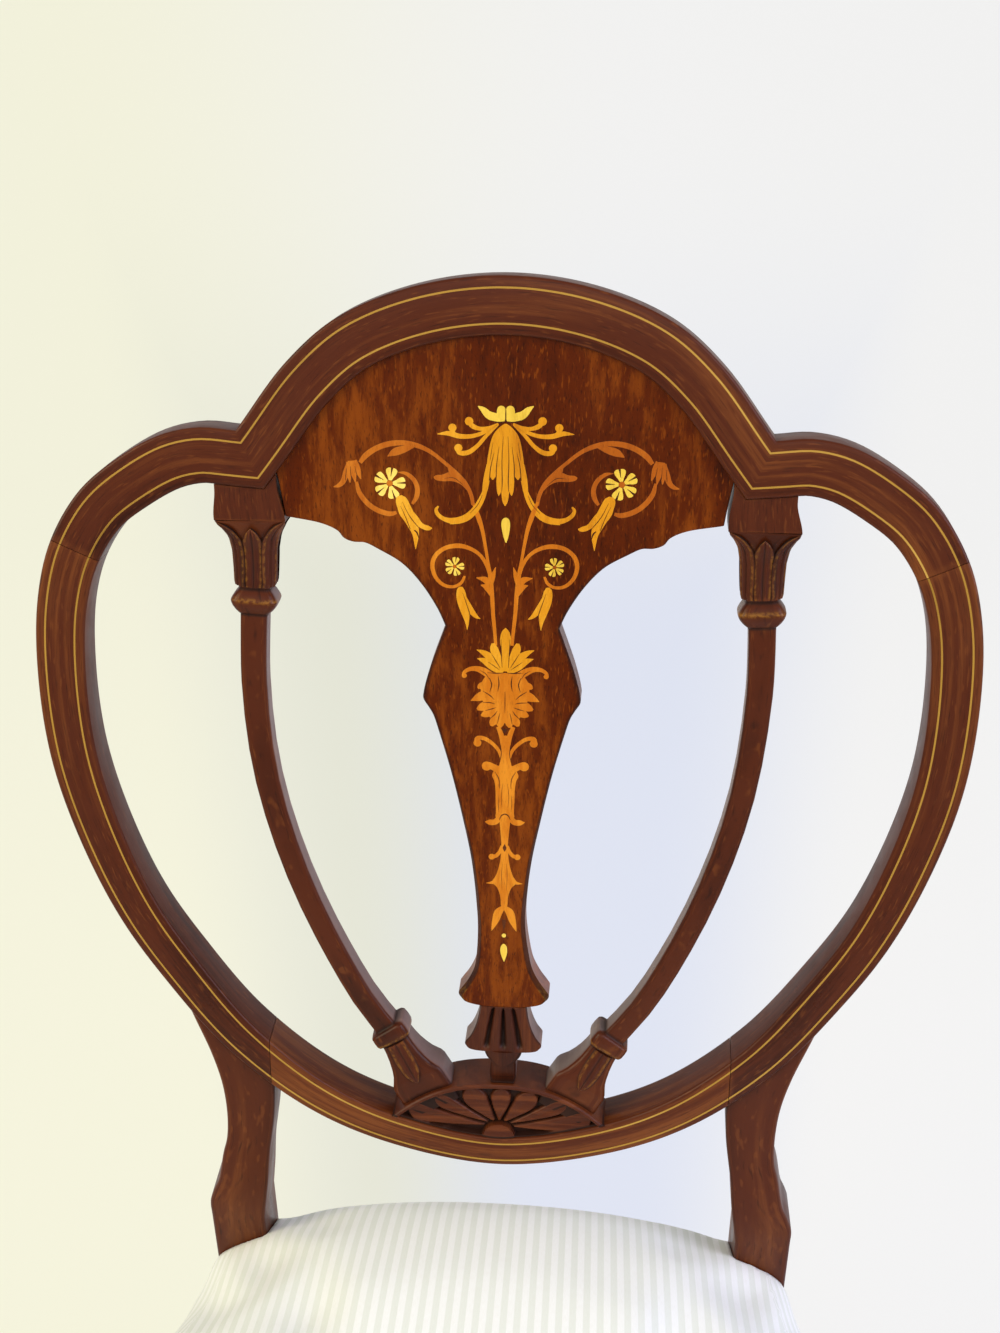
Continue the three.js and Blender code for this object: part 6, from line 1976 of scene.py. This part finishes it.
    def straps(self, finishes: Finishes) -> None:
        """Makes the webbing: long straps below, cross straps over and under them by turns."""
        first, last = self.front + self.rail + self.web_front, self.back - self.rail - self.web_rear
        pitch = (last - first) / (self.web_count - 1)
        for i in range(self.web_count):
            node = f"webbing_long_{i + 1}"
            low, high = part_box(node)
            y = np.linspace(low.y, high.y, 160) / MM
            weave = np.cos((y - first) / pitch * math.pi + i * math.pi)
            x = np.full_like(y, (low.x + high.x) / 2 / MM)
            path = np.stack([x, y, self.web_low + 1.0 + 0.7 * weave], axis=1)
            self.strap(f"strap_long_{i + 1}", node, finishes, path, (high.x - low.x) / MM)
        for i in range(self.web_count):
            node = f"webbing_cross_{i + 1}"
            low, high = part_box(node)
            x = np.linspace(low.x, high.x, 200) / MM
            weave = np.cos(x / 32 + i * math.pi)
            y = np.full_like(x, (low.y + high.y) / 2 / MM)
            path = np.stack([x, y, self.cross_low + 0.6 + 0.4 * weave], axis=1)
            self.strap(f"strap_cross_{i + 1}", node, finishes, path, (high.y - low.y) / MM)

    def strap(self, name: str, node: str, finishes: Finishes, path: Array, width: float) -> None:
        """Makes one strap along a middle line, which runs from front to back or from side to side.

        Args:
            name: The strap's name.
            node: The CAD node that it stands for.
            finishes: The chair's finishes.
            path: The line's rows of x, y and z.
            width: The strap's width.
        """
        span = np.ptp(path, axis=0)
        along_axis = int(span[1] > span[0])
        side, rise = np.array([(-1, -1), (-0.97, -1), (0.97, -1), (1, -1), (1, 1), (0.97, 1), (-0.97, 1),
                               (-1, 1)], float).T
        offset = side * width / 2
        points = np.repeat(path[:, None, :], len(side), axis=1)
        points[..., 1 - along_axis] += offset
        points[..., 2] += rise * self.web_thick * 0.45
        places = np.stack(np.broadcast_arrays(offset, path[:, along_axis, None]), axis=-1)
        piece = Shell().grid(points, places).mesh(name, bend=False)
        settle_in(piece, finishes.made["jute_webbing"], "webbing", node)

    def cloth(self, name: str, node: str, finishes: Finishes, finish: str, slot: str, sag: float) -> None:
        """Makes a stretched sheet in the place of a CAD cloth, with a slight sag in its middle.

        Args:
            name: The sheet's name.
            node: The CAD node that it stands for.
            finishes: The chair's finishes.
            finish: Which finish it takes.
            slot: The record's slot.
            sag: How far its middle lies below its edge.
        """
        low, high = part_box(node)
        front, back = low.y / MM, high.y / MM
        front_half = high.x / MM
        taper = (self.front_half - self.rear_half) * (back - front) / (self.back - self.front)
        rear_half = front_half - taper
        share = np.linspace(0, 1, 60)[:, None]
        turn = np.linspace(-1, 1, 61)
        y = mix(front, back, share) + 0 * turn
        x = mix(front_half, rear_half, share) * turn
        z = (low.z + high.z) / 2 / MM - sag * (1 - (2 * share - 1) ** 2) * (1 - turn**2)
        inner, front_of = self.post_inner - 3, self.post_front - 3
        x = np.where((np.abs(x) > inner) & (y > front_of), np.sign(x) * inner, x)
        top, under = (np.stack([x, y, z + rise], axis=-1) for rise in (self.cloth_half, -self.cloth_half))
        points = np.concatenate([top, under[:, ::-1]], axis=1)
        piece = Shell().grid(points, points[..., :2]).mesh(name, bend=False)
        settle_in(piece, finishes.made[finish], slot, node)

    def build(self, finishes: Finishes) -> None:
        """Makes the cover over its stuffing, then what lies under the seat."""
        cover = self.body().mesh("satin_seat", bend=False, smooth=60)
        self.inflate(cover)
        self.hollow_under(cover)
        self.cut_round_posts(cover)
        self.lay_stripes(cover)
        settle_in(cover, finishes.made["satin_stripe"], "satin_cover", "seat_cover", "seat_stuffing")
        self.straps(finishes)
        self.cloth("hessian_sheet", "seat_hessian", finishes, "hessian_cloth", "hessian", 0.0)
        self.cloth("dust_sheet", "bottom_cloth", finishes, "black_cloth", "bottom_cloth", 1.0)


@dataclass(frozen=True)
class SeatFrame:
    """The beech rails and braces under the cover and the front legs, which keep their CAD meshes."""

    woods: Tuple[Tuple[str, str], ...] = (
        ("seat_rail", "beech_frame"), ("corner_block", "beech_frame"), ("front_leg", "mahogany_panel"))

    def build(self, finishes: Finishes) -> None:
        """Gives the rails and braces their wood, and the front legs their polish."""
        for name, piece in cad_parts.items():
            for start, finish in self.woods:
                if name.startswith(start):
                    piece.data.materials.clear()
                    piece.data.materials.append(finishes.made[finish])
        log.info("seat frame and front legs dressed")


# Studio


@dataclass(frozen=True)
class Lamp:
    """A square soft lamp: where it stands and aims, in metres, its side, its watts and its colour."""

    name: str
    spot: Spot
    aim: Spot
    size: float
    power: float
    colour: Spot

    def place(self) -> None:
        """Sets the lamp up."""
        data = bpy.data.lights.new(self.name, "AREA")
        data.shape = "SQUARE"
        data.size, data.energy, data.color = self.size, self.power, self.colour
        lamp = bpy.data.objects.new(self.name, data)
        lamp.location = self.spot
        lamp.rotation_euler = (Vector(self.aim) - Vector(self.spot)).to_track_quat("-Z", "Y").to_euler()
        bpy.context.scene.collection.objects.link(lamp)


@dataclass
class Studio:
    """The camera as it stood for the photograph, a pale floor and backdrop, and soft lamps."""

    eye: Spot = (0.0482, -0.46097, 1.16046)
    forward: Spot = (-0.06381, 0.86577, -0.49636)
    up: Spot = (-0.02919, 0.49554, 0.86809)
    focal: float = 1489.3
    picture: float = 1333.0
    sensor: float = 36.0
    air: Colour = (0.93, 0.95, 1.0, 1.0)
    air_strength: float = 0.57
    wall: Colour = rgb(243, 243, 238)
    glow: float = 0.86
    bounce: Colour = rgb(215, 215, 214)
    # Painted light on the backdrop: dimmer in the middle than at the border, warm on the left and cool on the
    # right.
    shaded_middle_sides: Tuple[Colour, Colour] = (rgb(230, 231, 216), rgb(224, 229, 243))
    lit_border_sides: Tuple[Colour, Colour] = (rgb(245, 244, 222), rgb(244, 244, 243))
    floor_front: float = -6.0
    curve_start: float = 2.0
    curve: float = 1.5
    wall_top: float = 5.0
    lamps: Tuple[Lamp, ...] = (
        Lamp("window_left", (-1.9, -0.9, 1.9), (0.0, 0.15, 0.75), 1.6, 48.0, (1.0, 0.87, 0.57)),
        Lamp("sky_right", (1.9, -0.6, 1.7), (0.0, 0.15, 0.7), 1.8, 45.0, (0.82, 0.78, 1.0)),
        Lamp("front_high", (0.2, -2.2, 2.2), (0.0, 0.1, 0.7), 1.5, 9.0, (1.0, 0.98, 0.96)))

    def camera(self) -> None:
        """Places the camera."""
        data = bpy.data.cameras.new("photo_camera")
        data.sensor_fit = "VERTICAL"
        data.sensor_height = self.sensor
        data.lens = self.focal / self.picture * self.sensor
        data.clip_start = 0.02
        back = -Vector(self.forward).normalized()
        up = (Vector(self.up) - back * Vector(self.up).dot(back)).normalized()
        right = up.cross(back)
        camera = bpy.data.objects.new("photo_camera", data)
        turn = Matrix((right, up, back)).transposed().to_4x4()
        camera.matrix_world = Matrix.Translation(Vector(self.eye)) @ turn
        bpy.context.scene.collection.objects.link(camera)
        bpy.context.scene.camera = camera

    def floor(self) -> None:
        """A wide floor that rises into a backdrop, seen by the camera as the pale paper behind the chair. For
        the camera it glows, with painted light that is warm on the left, cool on the right and dimmer in the
        middle.
        """
        turn = np.linspace(0, math.pi / 2, 13)[1:]
        rise = np.linspace(self.curve, self.wall_top, 7)[1:]
        depth = np.concatenate([np.linspace(self.floor_front, self.curve_start, 9),
                                self.curve_start + self.curve * np.sin(turn),
                                np.full_like(rise, self.curve_start + self.curve)])
        height = np.concatenate([np.zeros(9), self.curve - self.curve * np.cos(turn), rise])
        across = np.linspace(-5, 5, 11)
        points = np.stack(np.broadcast_arrays(across[None, :], depth[:, None], height[:, None]), axis=-1)
        piece = Shell().grid(points / MM, closed=False).mesh("paper_sweep", bend=False)
        material, n, shader = start_material("paper_with_painted_light")
        x, y, _ = n.split(n.object_place())
        away = n.sum("MAXIMUM", n.sum("ADD", y, 0.46), 0.8)
        side = n.sum("ADD", n.sum("DIVIDE", n.sum("SUBTRACT", x, 0.048), away), 0.07)
        # Painted light: the middle behind the chair darker, the left warm and the right cool.
        far = n.sum("MAXIMUM", n.ramp(n.sum("ABSOLUTE", side), 0.12, 0.3), n.ramp(y, 1.6, 3.2))
        middle = n.blend(n.ramp(side, -0.14, 0.04), *self.shaded_middle_sides)
        border = n.blend(n.ramp(side, -0.3, 0.1), *self.lit_border_sides)
        paper = n.blend(far, middle, border)
        seen = n.add("ShaderNodeLightPath").outputs["Is Camera Ray"]
        n.feed(shader, {
            "Base Color": n.blend(seen, self.bounce, n.blend(self.glow, paper, (0, 0, 0, 1))),
            "Emission Color": paper, "Emission Strength": n.sum("MULTIPLY", seen, self.glow),
            "Roughness": 0.9, "Specular IOR Level": 0.1})
        piece.data.materials.append(material)

    def sky(self) -> None:
        """Even light from all around, which the camera sees as a pale wall."""
        world = bpy.context.scene.world or bpy.data.worlds.new("studio")
        bpy.context.scene.world = world
        world.use_nodes = True
        n = Nodes(world.node_tree)
        light, put = (next(node for node in n.tree.nodes if node.type == kind) for kind in
                      ("BACKGROUND", "OUTPUT_WORLD"))
        n.feed(light, {"Color": self.air, "Strength": self.air_strength})
        wall = n.add("ShaderNodeBackground", {"Color": self.wall})
        seen = n.add("ShaderNodeLightPath").outputs["Is Camera Ray"]
        shown = n.add("ShaderNodeMixShader", {0: seen, 1: light.outputs[0], 2: wall.outputs[0]})
        n.feed(put, {"Surface": shown.outputs[0]})

    def build(self) -> None:
        """Sets up the whole studio."""
        bpy.context.scene.view_settings.view_transform = "Standard"
        self.sky()
        self.camera()
        self.floor()
        for lamp in self.lamps:
            lamp.place()
        log.info("studio set up")


def build_chair() -> None:
    """Builds the finishes and the sub-assemblies in order, then the studio."""
    finishes = Finishes().build()
    shield = ShieldFrame()
    lunette = FanLunette(shield)
    shield.build(finishes)
    RearLegs(shield).build(finishes)
    lunette.build(finishes)
    Splat(shield).build(finishes)
    Marquetry().build(finishes)
    CurvedBars(shield, lunette).build(finishes)
    Seat().build(finishes)
    SeatFrame().build(finishes)
    Studio().build()


if __name__ == "__main__":
    logging.basicConfig(level=logging.INFO, format="%(name)s: %(message)s")
    build_chair()
